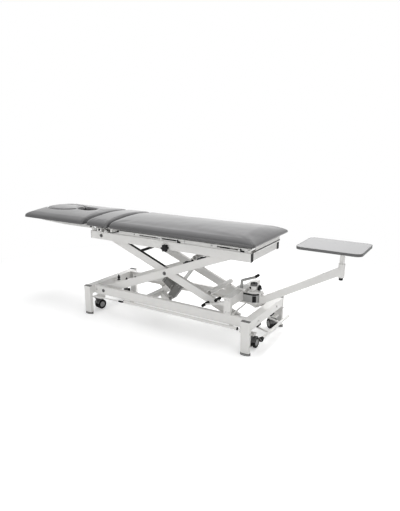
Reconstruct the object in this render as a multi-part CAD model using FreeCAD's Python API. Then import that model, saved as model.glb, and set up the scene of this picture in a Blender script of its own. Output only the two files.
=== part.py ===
import FreeCAD
import Part
import math
import os

from FreeCAD import Vector

# Base frame, in millimetres; x runs from the head end to the foot end, y across, z up
head_post_reach = 115.5
foot_post_reach = 137.13
post_spacing_y = 545.0
post_width = 60.0
post_depth = 25.0
post_top = 225.0
post_cap_height = 3.0
foot_length = 72.0
foot_width = 38.0
foot_height = 14.0
foot_stem_radius = 5.0
foot_stem_length = 30.0
tube_wall = 2.5
channel_wall = 3.0
cross_height = 60.0
base_rail_half = 228.0
base_rail_depth = 28.0
base_rail_height = 65.0

# Scissor lift
arm_pivot_x = -562.0
arm_half_length = 592.0
arm_angle = 21.4
arm_depth = 56.0
arm_thickness = 25.0
arm_wall = 2.5
arm_overrun = 26.0
arm_gap = 3.0
outer_arm_inset = 43.0
pin_radius = 8.0
bush_radius = 14.0
pin_cap_radius = 13.0
pin_cap_height = 3.0
cross_tube_radius = 18.0
cross_tube_wall = 2.5
inner_tube_from_end = 232.0
tie_bar_from_end = 335.0
tie_bar_radius = 10.0
lower_roller_radius = 27.5
upper_roller_radius = 24.0
roller_width = 20.0

# Lift actuator
actuator_foot_offset = 93.185
actuator_foot_z = 140.0
actuator_angle = 52.3
actuator_length = 485.0
actuator_eye_radius = 14.0
actuator_eye_width = 24.0
actuator_pin_radius = 7.0
gear_start = 40.0
gear_end = 180.0
gear_width = 56.0
gear_depth = 58.0
gear_fillet = 10.0
motor_width = 54.0
motor_length = 56.0
motor_reach = 130.0
motor_centre = 113.0
motor_fillet = 9.0
guide_tube_end = 365.0
guide_tube_radius = 14.0
guide_tube_wall = 3.0
guide_bush_length = 24.0
actuator_rod_start = 250.0
actuator_rod_radius = 8.0
lug_thickness = 6.0
lug_bore_radius = 19.5
lug_radius = 33.0
lug_tube_ahead = 58.0
actuator_beam_width = 40.0
actuator_beam_height = 36.0
actuator_beam_offset = 86.0

# Upper frame
upper_head_overhang = 101.0
upper_foot_overhang = 133.63
upper_rail_inset = 9.0
upper_rail_depth = 30.0
upper_rail_height = 57.0
end_tube_width = 34.0
head_tube_width = 30.0
middle_tube_place = 663.0
middle_tube_width = 40.0
middle_tube_height = 30.0
rail_cap_length = 3.0
slide_rail_overhang = 5.0
slide_rail_inset = 6.0
slide_rail_depth = 24.0
slide_rail_height = 27.0
slide_rail_wall = 2.5
slide_window_height = 10.0
head_window = (243.0, 561.0)
foot_window = (244.0, 90.0)
star_knob_place = 695.0
star_knob_drop = 16.5
star_knob_radius = 26.0
star_knob_height = 22.0
star_knob_lobes = 6
star_knob_stem_radius = 6.0

# Sections of the top
pad_half_width = 282.5
pad_clearance = 0.3
deck_gap = 49.0
board_thickness = 12.0
board_inset = 1.5
main_pad_setback = 223.0
main_pad_overhang = 44.0
middle_pad_setback = 15.0
section_gap = 8.0
head_pad_gap = 34.0
head_pad_length = 654.0
main_pad_thickness = 53.0
head_pad_thickness = 53.0
pad_corner = 22.0
pad_draw_in = 3.0
pad_roll = 60.0
pad_butt_roll = 16.0
pad_crown_inset = 95.0
face_centre_place = 443.0
face_half_length = 86.0
face_half_width = 48.0
face_lip = 14.0
plug_centre_place = 201.0
plug_half_length = 183.0
plug_half_width = 121.0
plug_gap = 3.0
carriage_tube_inset = 28.0
carriage_tube_width = 30.0
carriage_tube_height = 34.0
carriage_inset = 15.0
carriage_setback = 74.0
carriage_bar_inset = 20.0
carriage_bar_place = 545.0
glide_length = 60.0
glide_insets = (125.0, 120.0)
glide_clearance = 0.3
glide_bolt_radius = 4.0
head_hinge_reach = 13.0
head_hinge_rise = 31.0
head_arm_inset = 25.0
head_arm_thickness = 8.0
head_arm_inset_x = 121.0
head_arm_taper_place = 263.0
head_arm_depth = 37.0
head_arm_tip_depth = 25.0
head_bar_insets = (93.0, 136.0)
head_bar_height = 25.0
hinge_plate_gap = 2.0
hinge_plate_thickness = 8.0
hinge_boss_radius = 13.0
support_width = 20.0

# Portal and traction arm at the foot end
portal_setback = 160.5
portal_width = 50.0
portal_top = 340.0
portal_beam_height = 60.0
portal_wall = 3.0
clamp_half_width = 45.0
clamp_wall = 12.0
clamp_lip = 18.0
clamp_clearance = 0.3
clamp_boss_bottom = 262.0
clamp_boss_top = 328.0
clamp_rod_radius = 5.0
clamp_rod_inset = 40.0
clamp_rod_drop = 12.0
clamp_rod_reach = (-3.0, -160.0, -14.0)
clamp_tine_radius = 3.5
clamp_tine_spread = 8.0
clamp_tine_length = 28.0
swivel_reach = 58.0
swivel_radius = 20.0
swivel_top_rise = 10.0
swivel_plate = 10.0
swivel_plate_radius = 44.0
swivel_clearance = 0.05
arm_tube_height = 46.0
arm_tube_width = 40.0
arm_tube_wall = 3.0
arm_root_reach = 50.0
arm_root_z = 276.0
arm_root_plate = 12.0
tray_post_reach = 573.0
arm_tip_z = 568.0
sleeve_radius = 20.0
sleeve_bottom = 527.0
sleeve_top = 612.0
sleeve_floor = 6.0
tray_post_radius = 15.0
tray_post_start = 535.0
tray_flange_radius = 65.0
tray_flange_height = 8.0
tray_base = 703.0
tray_thickness = 16.0
tray_back = 244.0
tray_front = 138.0
tray_half_width = 146.0
tray_corner = 34.0
tray_edging = 4.0
height_knob_radius = 13.0
height_knob_height = 14.0
height_knob_stem = 5.0
lever_offset = 3.0
lever_y = -25.0
lever_stem_radius = 7.0
lever_hub_radius = 12.0
lever_hub_height = 14.0
lever_rod_radius = 6.0
lever_grip_radius = 9.0
lever_stem_height = 52.0
lever_reach = (52.0, 97.0, 4.0)
lever_tip_reach = (14.0, 36.0, 10.0)
swivel_knob_radius = 21.0
swivel_knob_height = 18.0
swivel_knob_stem = 6.0
swivel_collar_radius = 28.0
swivel_collar_rise = 11.0
swivel_collar_height = 26.0

# Castors, their shafts and the foot controls
castor_inset = 48.0
castor_trail = 28.0
castor_turns = (80.0, -52.0, 90.0, 137.0)
wheel_radius = 37.5
wheel_width = 20.0
wheel_gap = 15.0
wheel_floor_gap = 4.0
wheel_axle_radius = 5.0
wheel_dish = 5.0
fork_plate_radius = 23.0
fork_plate_height = 7.0
fork_web = 12.0
fork_hood_radius = 42.0
fork_hood_wall = 2.5
castor_stem_radius = 6.0
castor_plate_bottom = 106.0
castor_plate_height = 8.0
castor_plate_width = 52.0
shaft_offset = 52.5
shaft_z = 136.0
shaft_radius = 10.0
shaft_overhang = 18.0
bearing_inset = 18.0
bearing_thickness = 10.0
bearing_depth = 32.0
castor_lever_outset = 12.0
castor_lever_length = 258.0
castor_lever_rise = 6.0
castor_lever_radius = 5.0
pedal_bar_reach = 84.5
pedal_bar_z = 106.0
pedal_bar_radius = 10.0
pedal_bar_overhang = 10.0
pedal_arm_y = 95.0
pedal_arm_thickness = 8.0
foot_bar_gap = 17.0
foot_bar_end_gap = 27.0
foot_bar_outset = 9.0
foot_bar_z = 147.0
foot_bar_radius = 11.0
foot_bar_wall = 1.5
foot_bar_hinge_inset = 40.0
hanger_insets = (50.0, 58.0)
hanger_thickness = 6.0
hanger_depth = 14.0
hanger_plate_gap = 0.5
hanger_plate_thickness = 4.0
hanger_pin_radius = 4.0
release_reach = 18.0
release_rise = 10.0
release_hub_radius = 11.0
release_pin_radius = 6.0
release_lug_gap = 0.3
release_lug_thickness = 5.0
release_lever_thickness = 12.0
release_grip_radius = 9.0
release_grip_length = 60.0
release_grips = ((-134.0, -35.0), (-42.0, 14.0))

# Running fit between a pin and its bore, and the air left between parts that only pass each other
running_fit = 0.05
seat_gap = 0.1

# Places worked out from the sizes above
post_y = post_spacing_y / 2
base_rail_bottom = post_top - base_rail_height
outer_arm_face = base_rail_half - outer_arm_inset
upper_half = base_rail_half - upper_rail_inset
slide_rail_half = upper_half - slide_rail_inset
head_arm_half = upper_half - head_arm_inset
carriage_tube_half = slide_rail_half - carriage_tube_inset
base_web = base_rail_half - channel_wall
arm_low_z = post_top - base_rail_height / 2
arm_run = 2 * arm_half_length * math.cos(math.radians(arm_angle))
arm_rise = 2 * arm_half_length * math.sin(math.radians(arm_angle))
arm_high_z = arm_low_z + arm_rise
arm_far_x = arm_pivot_x + arm_run
arm_centre_x = arm_pivot_x + arm_run / 2
arm_centre_z = arm_low_z + arm_rise / 2
head_post_x = arm_pivot_x - head_post_reach
foot_post_x = arm_far_x + foot_post_reach
base_rail_span = (head_post_x + post_width / 2, foot_post_x - post_width / 2)
portal_x = foot_post_x - portal_setback
actuator_foot_x = arm_centre_x - actuator_foot_offset
upper_start = arm_pivot_x - upper_head_overhang
upper_end = arm_far_x + upper_foot_overhang
middle_tube_x = upper_start + middle_tube_place
star_knob_x = upper_start + star_knob_place
main_pad_start = upper_start + main_pad_setback
main_pad_end = upper_end + main_pad_overhang
middle_pad_start = upper_start + middle_pad_setback
middle_pad_end = main_pad_start - section_gap
head_pad_end = upper_start - head_pad_gap
head_pad_start = head_pad_end - head_pad_length
face_centre_x = head_pad_start + face_centre_place
plug_centre_x = head_pad_start + plug_centre_place
slide_rail_start = main_pad_start - slide_rail_overhang
slide_windows = (
    (slide_rail_start + head_window[0], slide_rail_start + head_window[1]),
    (upper_end - foot_window[0], upper_end - foot_window[1]),
)
carriage_start = main_pad_start + carriage_inset
carriage_end = upper_end - carriage_setback
carriage_bars = (
    carriage_start + carriage_bar_inset,
    carriage_start + carriage_bar_place,
    carriage_end - carriage_bar_inset,
)
glide_places = (carriage_start + glide_insets[0], carriage_end - glide_insets[1])
head_arm_end = head_pad_start + head_arm_inset_x
head_arm_bend = head_pad_end - head_arm_taper_place
head_bars = (head_pad_end - head_bar_insets[0], head_pad_start + head_bar_insets[1])
inner_arm_face = outer_arm_face - arm_thickness - arm_gap
upper_bottom = arm_high_z - upper_rail_height / 2
upper_top = arm_high_z + upper_rail_height / 2
upper_web = upper_half - channel_wall
upper_flange = upper_half - upper_rail_depth
board_base = upper_top + deck_gap
pad_base = board_base + board_thickness
board_half_width = pad_half_width - board_inset
head_hinge_x = upper_start - head_hinge_reach
head_hinge_z = upper_top + head_hinge_rise
star_knob_z = arm_high_z - star_knob_drop
portal_start = portal_x - portal_width / 2
portal_end = portal_x + portal_width / 2
portal_beam_bottom = portal_top - portal_beam_height
base_rail_inner = base_rail_half - base_rail_depth
lever_x = portal_x + lever_offset
swivel_x = portal_end + swivel_reach
swivel_collar_bottom = clamp_boss_top + clamp_clearance + swivel_plate + swivel_collar_rise
swivel_collar_top = swivel_collar_bottom + swivel_collar_height
swivel_top = swivel_collar_top + swivel_top_rise
arm_root_x = swivel_x + arm_root_reach
tray_post_x = swivel_x + tray_post_reach
tray_start = tray_post_x - tray_back
tray_end = tray_post_x + tray_front
castor_y = base_rail_half - castor_inset
head_shaft_x = head_post_x + shaft_offset
foot_shaft_x = foot_post_x - shaft_offset
shaft_half_length = base_rail_half + shaft_overhang
bearing_y = base_rail_half - bearing_inset
castor_lever_y = -base_rail_half - castor_lever_outset
castor_lever_end = head_shaft_x + castor_lever_length
pedal_bar_x = foot_post_x + pedal_bar_reach
pedal_bar_half = base_rail_half + pedal_bar_overhang
foot_bar_start = castor_lever_end + foot_bar_gap
foot_bar_end = foot_shaft_x - foot_bar_end_gap
foot_bar_hangers = (foot_bar_start + hanger_insets[0], foot_bar_end - hanger_insets[1])
foot_bar_y = base_rail_half + foot_bar_outset
foot_bar_hinge_y = base_rail_half - foot_bar_hinge_inset
release_x = portal_start - release_reach
release_z = portal_beam_bottom + release_rise
actuator_beam_x = actuator_foot_x - actuator_beam_offset
model_shift = -(head_pad_start + tray_end + tray_edging) / 2
across = Vector(0, 1, 0)
upward = Vector(0, 0, 1)
along = Vector(1, 0, 0)


def box(x, y, z):
    return Part.makeBox(x[1] - x[0], y[1] - y[0], z[1] - z[0], Vector(x[0], y[0], z[0]))


def bar_between(start, end, radius):
    path = end - start
    return Part.makeCylinder(radius, path.Length, start, path)


def pipe_between(start, end, radius, wall):
    return bar_between(start, end, radius).cut(bar_between(start, end, radius - wall))


def crosswise(x, z, y, radius):
    return Part.makeCylinder(radius, y[1] - y[0], Vector(x, y[0], z), across)


def plate(points, y):
    corners = [Vector(x, y[0], z) for x, z in points]
    face = Part.Face(Part.makePolygon(corners + corners[:1]))
    return face.extrude(Vector(0, y[1] - y[0], 0))


def far_side(shape):
    return shape.mirror(Vector(0, 0, 0), across)


def both_sides(shape):
    return [shape, far_side(shape)]


def group(shapes):
    return Part.makeCompound(shapes)


def one(shapes):
    joined = shapes[0].multiFuse(shapes[1:])
    return joined.removeSplitter()


def save(name, shape):
    placed = shape.copy()
    placed.translate(Vector(model_shift, 0, 0))
    placed.exportStep("parts/" + name + ".step")


def rounded_outline(x, y, z, corner):
    bend = corner * (1 - math.sqrt(0.5))
    west, east = x
    south, north = y
    edges = []
    runs = (
        ((west + corner, south), (east - corner, south), (east - bend, south + bend), (east, south + corner)),
        ((east, south + corner), (east, north - corner), (east - bend, north - bend), (east - corner, north)),
        ((east - corner, north), (west + corner, north), (west + bend, north - bend), (west, north - corner)),
        ((west, north - corner), (west, south + corner), (west + bend, south + bend), (west + corner, south)),
    )
    for start, turn, middle, end in runs:
        points = [Vector(px, py, z) for px, py in (start, turn, middle, end)]
        edges.append(Part.LineSegment(points[0], points[1]).toShape())
        edges.append(Part.Arc(points[1], points[2], points[3]).toShape())
    return Part.Wire(edges)


def slot_outline(centre, half_length, half_width, z):
    run = half_length - half_width
    bend = half_width * math.sqrt(0.5)
    quarter = (
        ((1, -1), (0, -half_width), (bend, -bend), (half_width, 0)),
        ((1, 1), (half_width, 0), (bend, bend), (0, half_width)),
        ((-1, 1), (0, half_width), (-bend, bend), (-half_width, 0)),
        ((-1, -1), (-half_width, 0), (-bend, -bend), (0, -half_width)),
    )
    edges = []
    for side, start, middle, end in quarter:
        points = [Vector(centre + side[0] * run + px, py, z) for px, py in (start, middle, end)]
        edges.append(Part.Arc(points[0], points[1], points[2]).toShape())
    signs = ((-1, -1), (1, -1), (1, 1), (-1, 1))
    corners = [Vector(centre + sx * run, sy * half_width, z) for sx, sy in signs]
    lower = Part.LineSegment(corners[0], corners[1]).toShape()
    upper = Part.LineSegment(corners[2], corners[3]).toShape()
    return Part.Wire([lower, edges[0], edges[1], upper, edges[2], edges[3]])


# Base frame, with the head end at -1 and the foot end at 1
def end_x(sx):
    return foot_post_x if sx > 0 else head_post_x


def shaft_place(sx):
    return foot_shaft_x if sx > 0 else head_shaft_x


def post_span(sx):
    return (end_x(sx) - post_width / 2, end_x(sx) + post_width / 2)


def post(sx, sy):
    x = post_span(sx)
    y = (sy * post_y - post_depth / 2, sy * post_y + post_depth / 2)
    z = (foot_height, post_top)
    inner_x = (x[0] + tube_wall, x[1] - tube_wall)
    inner_y = (y[0] + tube_wall, y[1] - tube_wall)
    floor = foot_height + tube_wall
    body = box(x, y, z).cut(box(inner_x, inner_y, (floor, post_top)))
    hole_start = Vector(end_x(sx), sy * post_y, foot_height)
    return body.cut(Part.makeCylinder(foot_stem_radius + running_fit, tube_wall, hole_start))


def post_cap(sx, sy):
    x = post_span(sx)
    y = (sy * post_y - post_depth / 2, sy * post_y + post_depth / 2)
    lid = box(x, y, (post_top, post_top + post_cap_height))
    plug_x = (x[0] + tube_wall + seat_gap, x[1] - tube_wall - seat_gap)
    plug_y = (y[0] + tube_wall + seat_gap, y[1] - tube_wall - seat_gap)
    return lid.fuse(box(plug_x, plug_y, (post_top - 4 * post_cap_height, post_top)))


def foot(sx, sy):
    centre = Vector(end_x(sx), sy * post_y, 0)
    lower = Part.Wire([Part.Ellipse(centre, foot_length / 2, foot_width / 2).toShape()])
    upper_centre = centre + upward * foot_height
    narrowing = foot_height / 4
    upper = Part.Ellipse(upper_centre, foot_length / 2 - narrowing, foot_width / 2 - narrowing)
    pad = Part.makeLoft([lower, Part.Wire([upper.toShape()])], True, True)
    stem = Part.makeCylinder(foot_stem_radius, foot_stem_length, upper_centre)
    return pad.fuse(stem)


corners = [(sx, sy) for sx in (-1, 1) for sy in (-1, 1)]


def end_cross_member(sx):
    x = post_span(sx)
    y = post_y - post_depth / 2
    z = (post_top - cross_height, post_top)
    hollow_x = (x[0] + tube_wall, x[1] - tube_wall)
    hollow_z = (z[0] + tube_wall, z[1] - tube_wall)
    return box(x, (-y, y), z).cut(box(hollow_x, (-y, y), hollow_z))


def channel(x, half, depth, z, wall):
    outer = box(x, (-half, -half + depth), z)
    return outer.cut(box(x, (-half + wall, -half + depth), (z[0] + wall, z[1] - wall)))


def base_rail():
    z = (base_rail_bottom, post_top)
    rail = channel(base_rail_span, base_rail_half, base_rail_depth, z, channel_wall)
    web_y = (-base_rail_half, -base_web)
    return rail.cut(crosswise(arm_pivot_x, arm_low_z, web_y, pin_radius + running_fit))


def portal_upright():
    outer = box((portal_start, portal_end), (-base_rail_half, -base_rail_inner), (post_top, portal_top))
    inner_x = (portal_start + portal_wall, portal_end - portal_wall)
    inner_y = (-base_rail_half + portal_wall, -base_rail_inner - portal_wall)
    return outer.cut(box(inner_x, inner_y, (post_top, portal_top - portal_wall)))


def portal_beam():
    y = (-base_rail_inner, base_rail_inner)
    outer = box((portal_start, portal_end), y, (portal_beam_bottom, portal_top))
    inner_x = (portal_start + portal_wall, portal_end - portal_wall)
    inner_z = (portal_beam_bottom + portal_wall, portal_top - portal_wall)
    return outer.cut(box(inner_x, y, inner_z))


def actuator_seat():
    x = (actuator_beam_x - actuator_beam_width / 2, actuator_beam_x + actuator_beam_width / 2)
    z = (base_rail_bottom + channel_wall, base_rail_bottom + channel_wall + actuator_beam_height)
    y = (-base_web, base_web)
    hollow_x = (x[0] + tube_wall, x[1] - tube_wall)
    hollow_z = (z[0] + tube_wall, z[1] - tube_wall)
    beam = box(x, y, z).cut(box(hollow_x, y, hollow_z))
    reach = actuator_eye_radius
    outline = (
        (x[1], z[1] - tube_wall),
        (x[1], z[0] - reach),
        (actuator_foot_x - reach, actuator_foot_z - reach),
        (actuator_foot_x + reach / 2, actuator_foot_z - reach),
        (actuator_foot_x + reach, actuator_foot_z),
        (actuator_foot_x + reach / 2, actuator_foot_z + reach),
    )
    inner = actuator_eye_width / 2 + 2
    cheek = plate(outline, (-inner - lug_thickness, -inner))
    seat = one([beam] + both_sides(cheek))
    pin_span = (-inner - lug_thickness, inner + lug_thickness)
    pin = crosswise(actuator_foot_x, actuator_foot_z, pin_span, actuator_pin_radius)
    return seat.fuse(pin)


def shaft_bearing(sx):
    middle = shaft_place(sx)
    x = (middle - bearing_depth / 2, middle + bearing_depth / 2)
    y = (-bearing_y - bearing_thickness / 2, -bearing_y + bearing_thickness / 2)
    block = box(x, y, (shaft_z, base_rail_bottom))
    round_end = crosswise(middle, shaft_z, y, bearing_depth / 2)
    bore = crosswise(middle, shaft_z, y, shaft_radius + running_fit)
    return block.fuse(round_end).cut(bore)


def hanger_hinge(x):
    inner = hanger_thickness / 2 + hanger_plate_gap
    bottom = foot_bar_z - hanger_depth / 2
    ears = []
    for side in (-1, 1):
        ear_x = sorted((x + side * inner, x + side * (inner + hanger_plate_thickness)))
        ear_y = (-foot_bar_y + 1.3 * foot_bar_radius, -foot_bar_hinge_y + hanger_depth / 2)
        ears.append(box(ear_x, ear_y, (bottom, base_rail_bottom)))
    start = Vector(x - inner - hanger_plate_thickness, -foot_bar_hinge_y, foot_bar_z)
    pin = bar_between(start, start + along * 2 * (inner + hanger_plate_thickness), hanger_pin_radius)
    return one(ears + [pin])


def release_lugs():
    middle = -(base_rail_half + base_rail_inner) / 2
    inner = release_lever_thickness / 2 + release_lug_gap
    lugs = []
    for side in (-1, 1):
        y = sorted((middle + side * inner, middle + side * (inner + release_lug_thickness)))
        z = (release_z - release_hub_radius, release_z + release_hub_radius)
        block = box((release_x, portal_start), y, z)
        lugs.append(block.fuse(crosswise(release_x, release_z, y, release_hub_radius)))
    reach = inner + release_lug_thickness
    pin = crosswise(release_x, release_z, (middle - reach, middle + reach), release_pin_radius)
    return one(lugs + [pin])


# Scissor arms lie along x about their middle and are then turned to the lift angle
def arm(face, turn):
    reach = arm_half_length + arm_overrun
    y = (-face, -face + arm_thickness)
    outer = box((-reach, reach), y, (-arm_depth / 2, arm_depth / 2))
    inner_y = (y[0] + arm_wall, y[1] - arm_wall)
    inner_z = (-arm_depth / 2 + arm_wall, arm_depth / 2 - arm_wall)
    tube = outer.cut(box((-reach, reach), inner_y, inner_z))
    places = (-arm_half_length, 0, arm_half_length)
    tube = one([tube] + [crosswise(x, 0, inner_y, bush_radius) for x in places])
    for x in places:
        tube = tube.cut(crosswise(x, 0, y, pin_radius + running_fit))
    return on_arm(tube, turn)


def on_arm(shape, turn):
    placed = shape.copy()
    placed.rotate(Vector(0, 0, 0), across, turn)
    placed.translate(Vector(arm_centre_x, 0, arm_centre_z))
    return placed


def pivot_pin(x, z, face, web, outer):
    inner_end = -face + arm_thickness + pin_cap_height
    pin = crosswise(x, z, (-outer - pin_cap_height, inner_end), pin_radius)
    sleeve = crosswise(x, z, (-web + seat_gap, -face - seat_gap), bush_radius)
    head = crosswise(x, z, (-outer - pin_cap_height, -outer - seat_gap), pin_cap_radius)
    clip = crosswise(x, z, (-face + arm_thickness + seat_gap, inner_end), pin_cap_radius)
    return one([pin, sleeve, head, clip])


def centre_pin():
    outer_end = -outer_arm_face - pin_cap_height
    inner_end = -inner_arm_face + arm_thickness + pin_cap_height
    pin = crosswise(arm_centre_x, arm_centre_z, (outer_end, inner_end), pin_radius)
    head_y = (outer_end, -outer_arm_face - seat_gap)
    head = crosswise(arm_centre_x, arm_centre_z, head_y, pin_cap_radius)
    clip_y = (-inner_arm_face + arm_thickness + seat_gap, inner_end)
    return one([pin, head, crosswise(arm_centre_x, arm_centre_z, clip_y, pin_cap_radius)])


def roller_axle(x, z, face, web):
    inner_end = -face + arm_thickness + pin_cap_height
    axle = crosswise(x, z, (-web + 2 * seat_gap, inner_end), pin_radius)
    clip = crosswise(x, z, (-face + arm_thickness + seat_gap, inner_end), pin_cap_radius)
    sleeve = crosswise(x, z, (-web + roller_width + 10 * seat_gap, -face - seat_gap), bush_radius)
    return one([axle, clip, sleeve])


def roller(x, z, web, radius):
    y = (-web + 5 * seat_gap, -web + 5 * seat_gap + roller_width)
    bevel = roller_width / 8
    tyre = crosswise(x, z, y, radius)
    tyre = tyre.makeFillet(bevel, [edge for edge in tyre.Edges if edge.Closed])
    return tyre.cut(crosswise(x, z, y, pin_radius + running_fit))


def tie_bar():
    place = tie_bar_from_end - arm_half_length
    span = (-inner_arm_face, inner_arm_face)
    return on_arm(crosswise(place, arm_depth / 2 + tie_bar_radius, span, tie_bar_radius), arm_angle)


def arm_cross_tube(from_middle, face, turn):
    height = arm_depth / 2 + cross_tube_radius
    outer = crosswise(from_middle, height, (-face, face), cross_tube_radius)
    bore = crosswise(from_middle, height, (-face, face), cross_tube_radius - cross_tube_wall)
    return on_arm(outer.cut(bore), turn)


# The actuator lies along x from its foot and is then turned up
def on_actuator(shape):
    placed = shape.copy()
    placed.rotate(Vector(0, 0, 0), across, -actuator_angle)
    placed.translate(Vector(actuator_foot_x, 0, actuator_foot_z))
    return placed


actuator_tip_x = actuator_foot_x + actuator_length * math.cos(math.radians(actuator_angle))
actuator_tip_z = actuator_foot_z + actuator_length * math.sin(math.radians(actuator_angle))


def actuator_housing():
    half = gear_width / 2
    block = box((gear_start, gear_end), (-half, half), (-gear_depth / 2, gear_depth / 2))
    block = block.makeFillet(gear_fillet, block.Edges)
    eye_y = (-actuator_eye_width / 2, actuator_eye_width / 2)
    neck = box((0, gear_start + gear_fillet), eye_y, (-actuator_eye_radius / 2, actuator_eye_radius / 2))
    eye = crosswise(0, 0, eye_y, actuator_eye_radius)
    body = one([block, neck, eye])
    rod_room = actuator_rod_radius + 2
    body = body.cut(bar_between(Vector(gear_end - gear_start, 0, 0), Vector(gear_end, 0, 0), rod_room))
    return on_actuator(body.cut(crosswise(0, 0, eye_y, actuator_pin_radius + running_fit)))


def actuator_motor():
    start = gear_depth / 2 + seat_gap
    x = (motor_centre - motor_length / 2, motor_centre + motor_length / 2)
    body = box(x, (-motor_width / 2, motor_width / 2), (start, motor_reach))
    rim = [edge for edge in body.Edges if edge.CenterOfMass.z > start + seat_gap]
    return on_actuator(body.makeFillet(motor_fillet, rim))


def guide_tube():
    start = Vector(gear_end + seat_gap, 0, 0)
    end = Vector(guide_tube_end, 0, 0)
    tube = pipe_between(start, end, guide_tube_radius, guide_tube_wall)
    bush_start = Vector(guide_tube_end - guide_bush_length, 0, 0)
    bush = bar_between(bush_start, end, guide_tube_radius - guide_tube_wall)
    bush = bush.cut(bar_between(bush_start, end, actuator_rod_radius + running_fit))
    return on_actuator(one([tube, bush]))


def actuator_rod():
    start = Vector(actuator_rod_start, 0, 0)
    end = Vector(actuator_length, 0, 0)
    inner = actuator_eye_width / 2
    eye = crosswise(actuator_length, 0, (-inner, inner), actuator_eye_radius)
    pin_end = inner + 2 + lug_thickness + pin_cap_height
    pin = crosswise(actuator_length, 0, (-pin_end, pin_end), actuator_pin_radius)
    washers = []
    for side in (-1, 1):
        y = sorted((side * pin_end, side * (pin_end - pin_cap_height + 2 * seat_gap)))
        washers.append(crosswise(actuator_length, 0, y, lug_bore_radius + pin_cap_height))
    return on_actuator(one([bar_between(start, end, actuator_rod_radius), eye, pin] + washers))


def lift_tube():
    offset_x = actuator_tip_x - arm_centre_x
    offset_z = actuator_tip_z - arm_centre_z
    slope = math.radians(arm_angle)
    tip_along = offset_x * math.cos(slope) + offset_z * math.sin(slope)
    tip_above = offset_z * math.cos(slope) - offset_x * math.sin(slope)
    tube = arm_cross_tube(tip_along + lug_tube_ahead, outer_arm_face, -arm_angle)
    height = arm_depth / 2 + cross_tube_radius
    inner = actuator_eye_width / 2 + 2
    y = (-inner - lug_thickness, -inner)
    ahead = tip_along + lug_tube_ahead
    web = plate(((tip_along, tip_above - lug_radius), (ahead, height - cross_tube_radius),
                 (ahead, height + cross_tube_radius), (tip_along, tip_above + lug_radius)), y)
    lug = one([web, crosswise(tip_along, tip_above, y, lug_radius)])
    lug = lug.cut(crosswise(tip_along, tip_above, y, lug_bore_radius))
    lug = lug.cut(crosswise(ahead, height, y, cross_tube_radius - cross_tube_wall))
    return one([tube] + [on_arm(piece, -arm_angle) for piece in both_sides(lug)])


# Upper frame
def upper_rail():
    z = (upper_bottom, upper_top)
    return channel((upper_start, upper_end), upper_half, upper_rail_depth, z, channel_wall)


def upper_rail_with_pivot():
    web_y = (-upper_half, -upper_web)
    return upper_rail().cut(crosswise(arm_pivot_x, arm_high_z, web_y, pin_radius + running_fit))


def frame_tube(x, z):
    hollow_x = (x[0] + tube_wall, x[1] - tube_wall)
    hollow_z = (z[0] + tube_wall, z[1] - tube_wall)
    outer = box(x, (-upper_web, upper_web), z)
    return outer.cut(box(hollow_x, (-upper_web, upper_web), hollow_z))


def frame_cross_members():
    floor = upper_bottom + channel_wall
    roof = upper_top - channel_wall
    foot_end = frame_tube((upper_end - end_tube_width, upper_end), (floor, roof))
    head_end = frame_tube((upper_start, upper_start + head_tube_width), (floor, roof))
    middle_x = (middle_tube_x - middle_tube_width / 2, middle_tube_x + middle_tube_width / 2)
    middle = frame_tube(middle_x, (floor, floor + middle_tube_height))
    return group([head_end, middle, foot_end])


def rail_cap(x, side):
    span = sorted((x, x + side * rail_cap_length))
    return box(span, (-upper_half, -upper_flange), (upper_bottom, upper_top))


def slide_rail():
    z = (upper_top, upper_top + slide_rail_height)
    rail = channel((slide_rail_start, upper_end), slide_rail_half, slide_rail_depth, z, slide_rail_wall)
    middle = (z[0] + z[1]) / 2
    window_z = (middle - slide_window_height / 2, middle + slide_window_height / 2)
    for start, end in slide_windows:
        web_y = (-slide_rail_half, -slide_rail_half + slide_rail_wall)
        rail = rail.cut(box((start, end), web_y, window_z))
    return rail


def star_knob():
    grip_y = (-upper_half - pin_cap_height - star_knob_height, -upper_half - pin_cap_height)
    lobe_radius = star_knob_radius / 3.4
    ring = star_knob_radius - lobe_radius
    pieces = [crosswise(star_knob_x, star_knob_z, grip_y, ring)]
    for index in range(star_knob_lobes):
        turn = 2 * math.pi * index / star_knob_lobes
        x = star_knob_x + ring * math.cos(turn)
        z = star_knob_z + ring * math.sin(turn)
        pieces.append(crosswise(x, z, grip_y, lobe_radius))
    stem_y = (grip_y[1], -upper_web + pin_cap_height)
    pieces.append(crosswise(star_knob_x, star_knob_z, stem_y, star_knob_stem_radius))
    return one(pieces)


def hinge_bracket():
    outer = head_arm_half + hinge_plate_gap + hinge_plate_thickness
    y = (-outer, -head_arm_half - hinge_plate_gap)
    outline = (
        (upper_start + head_tube_width + hinge_boss_radius, upper_top),
        (upper_start, upper_top),
        (head_hinge_x - hinge_boss_radius, head_hinge_z),
        (head_hinge_x, head_hinge_z + hinge_boss_radius / 2),
        (head_hinge_x + hinge_boss_radius, head_hinge_z),
    )
    body = one([plate(outline, y), crosswise(head_hinge_x, head_hinge_z, y, hinge_boss_radius)])
    return body


def head_hinge():
    outer = head_arm_half + hinge_plate_gap + hinge_plate_thickness
    rod = crosswise(head_hinge_x, head_hinge_z, (-outer, outer), pin_radius)
    return one(both_sides(hinge_bracket()) + [rod])


def middle_board():
    panel = board((middle_pad_start, middle_pad_end))
    rest_y = head_arm_half - head_arm_thickness - support_width / 2
    rest_x = (upper_start + head_tube_width - support_width, upper_start + head_tube_width)
    front = box(rest_x, (-rest_y, rest_y), (upper_top, board_base))
    back_x = (middle_pad_end - board_inset - support_width, middle_pad_end - board_inset)
    back = box(back_x, (-upper_half, upper_half), (upper_top, board_base))
    return one([panel, front, back])


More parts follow.
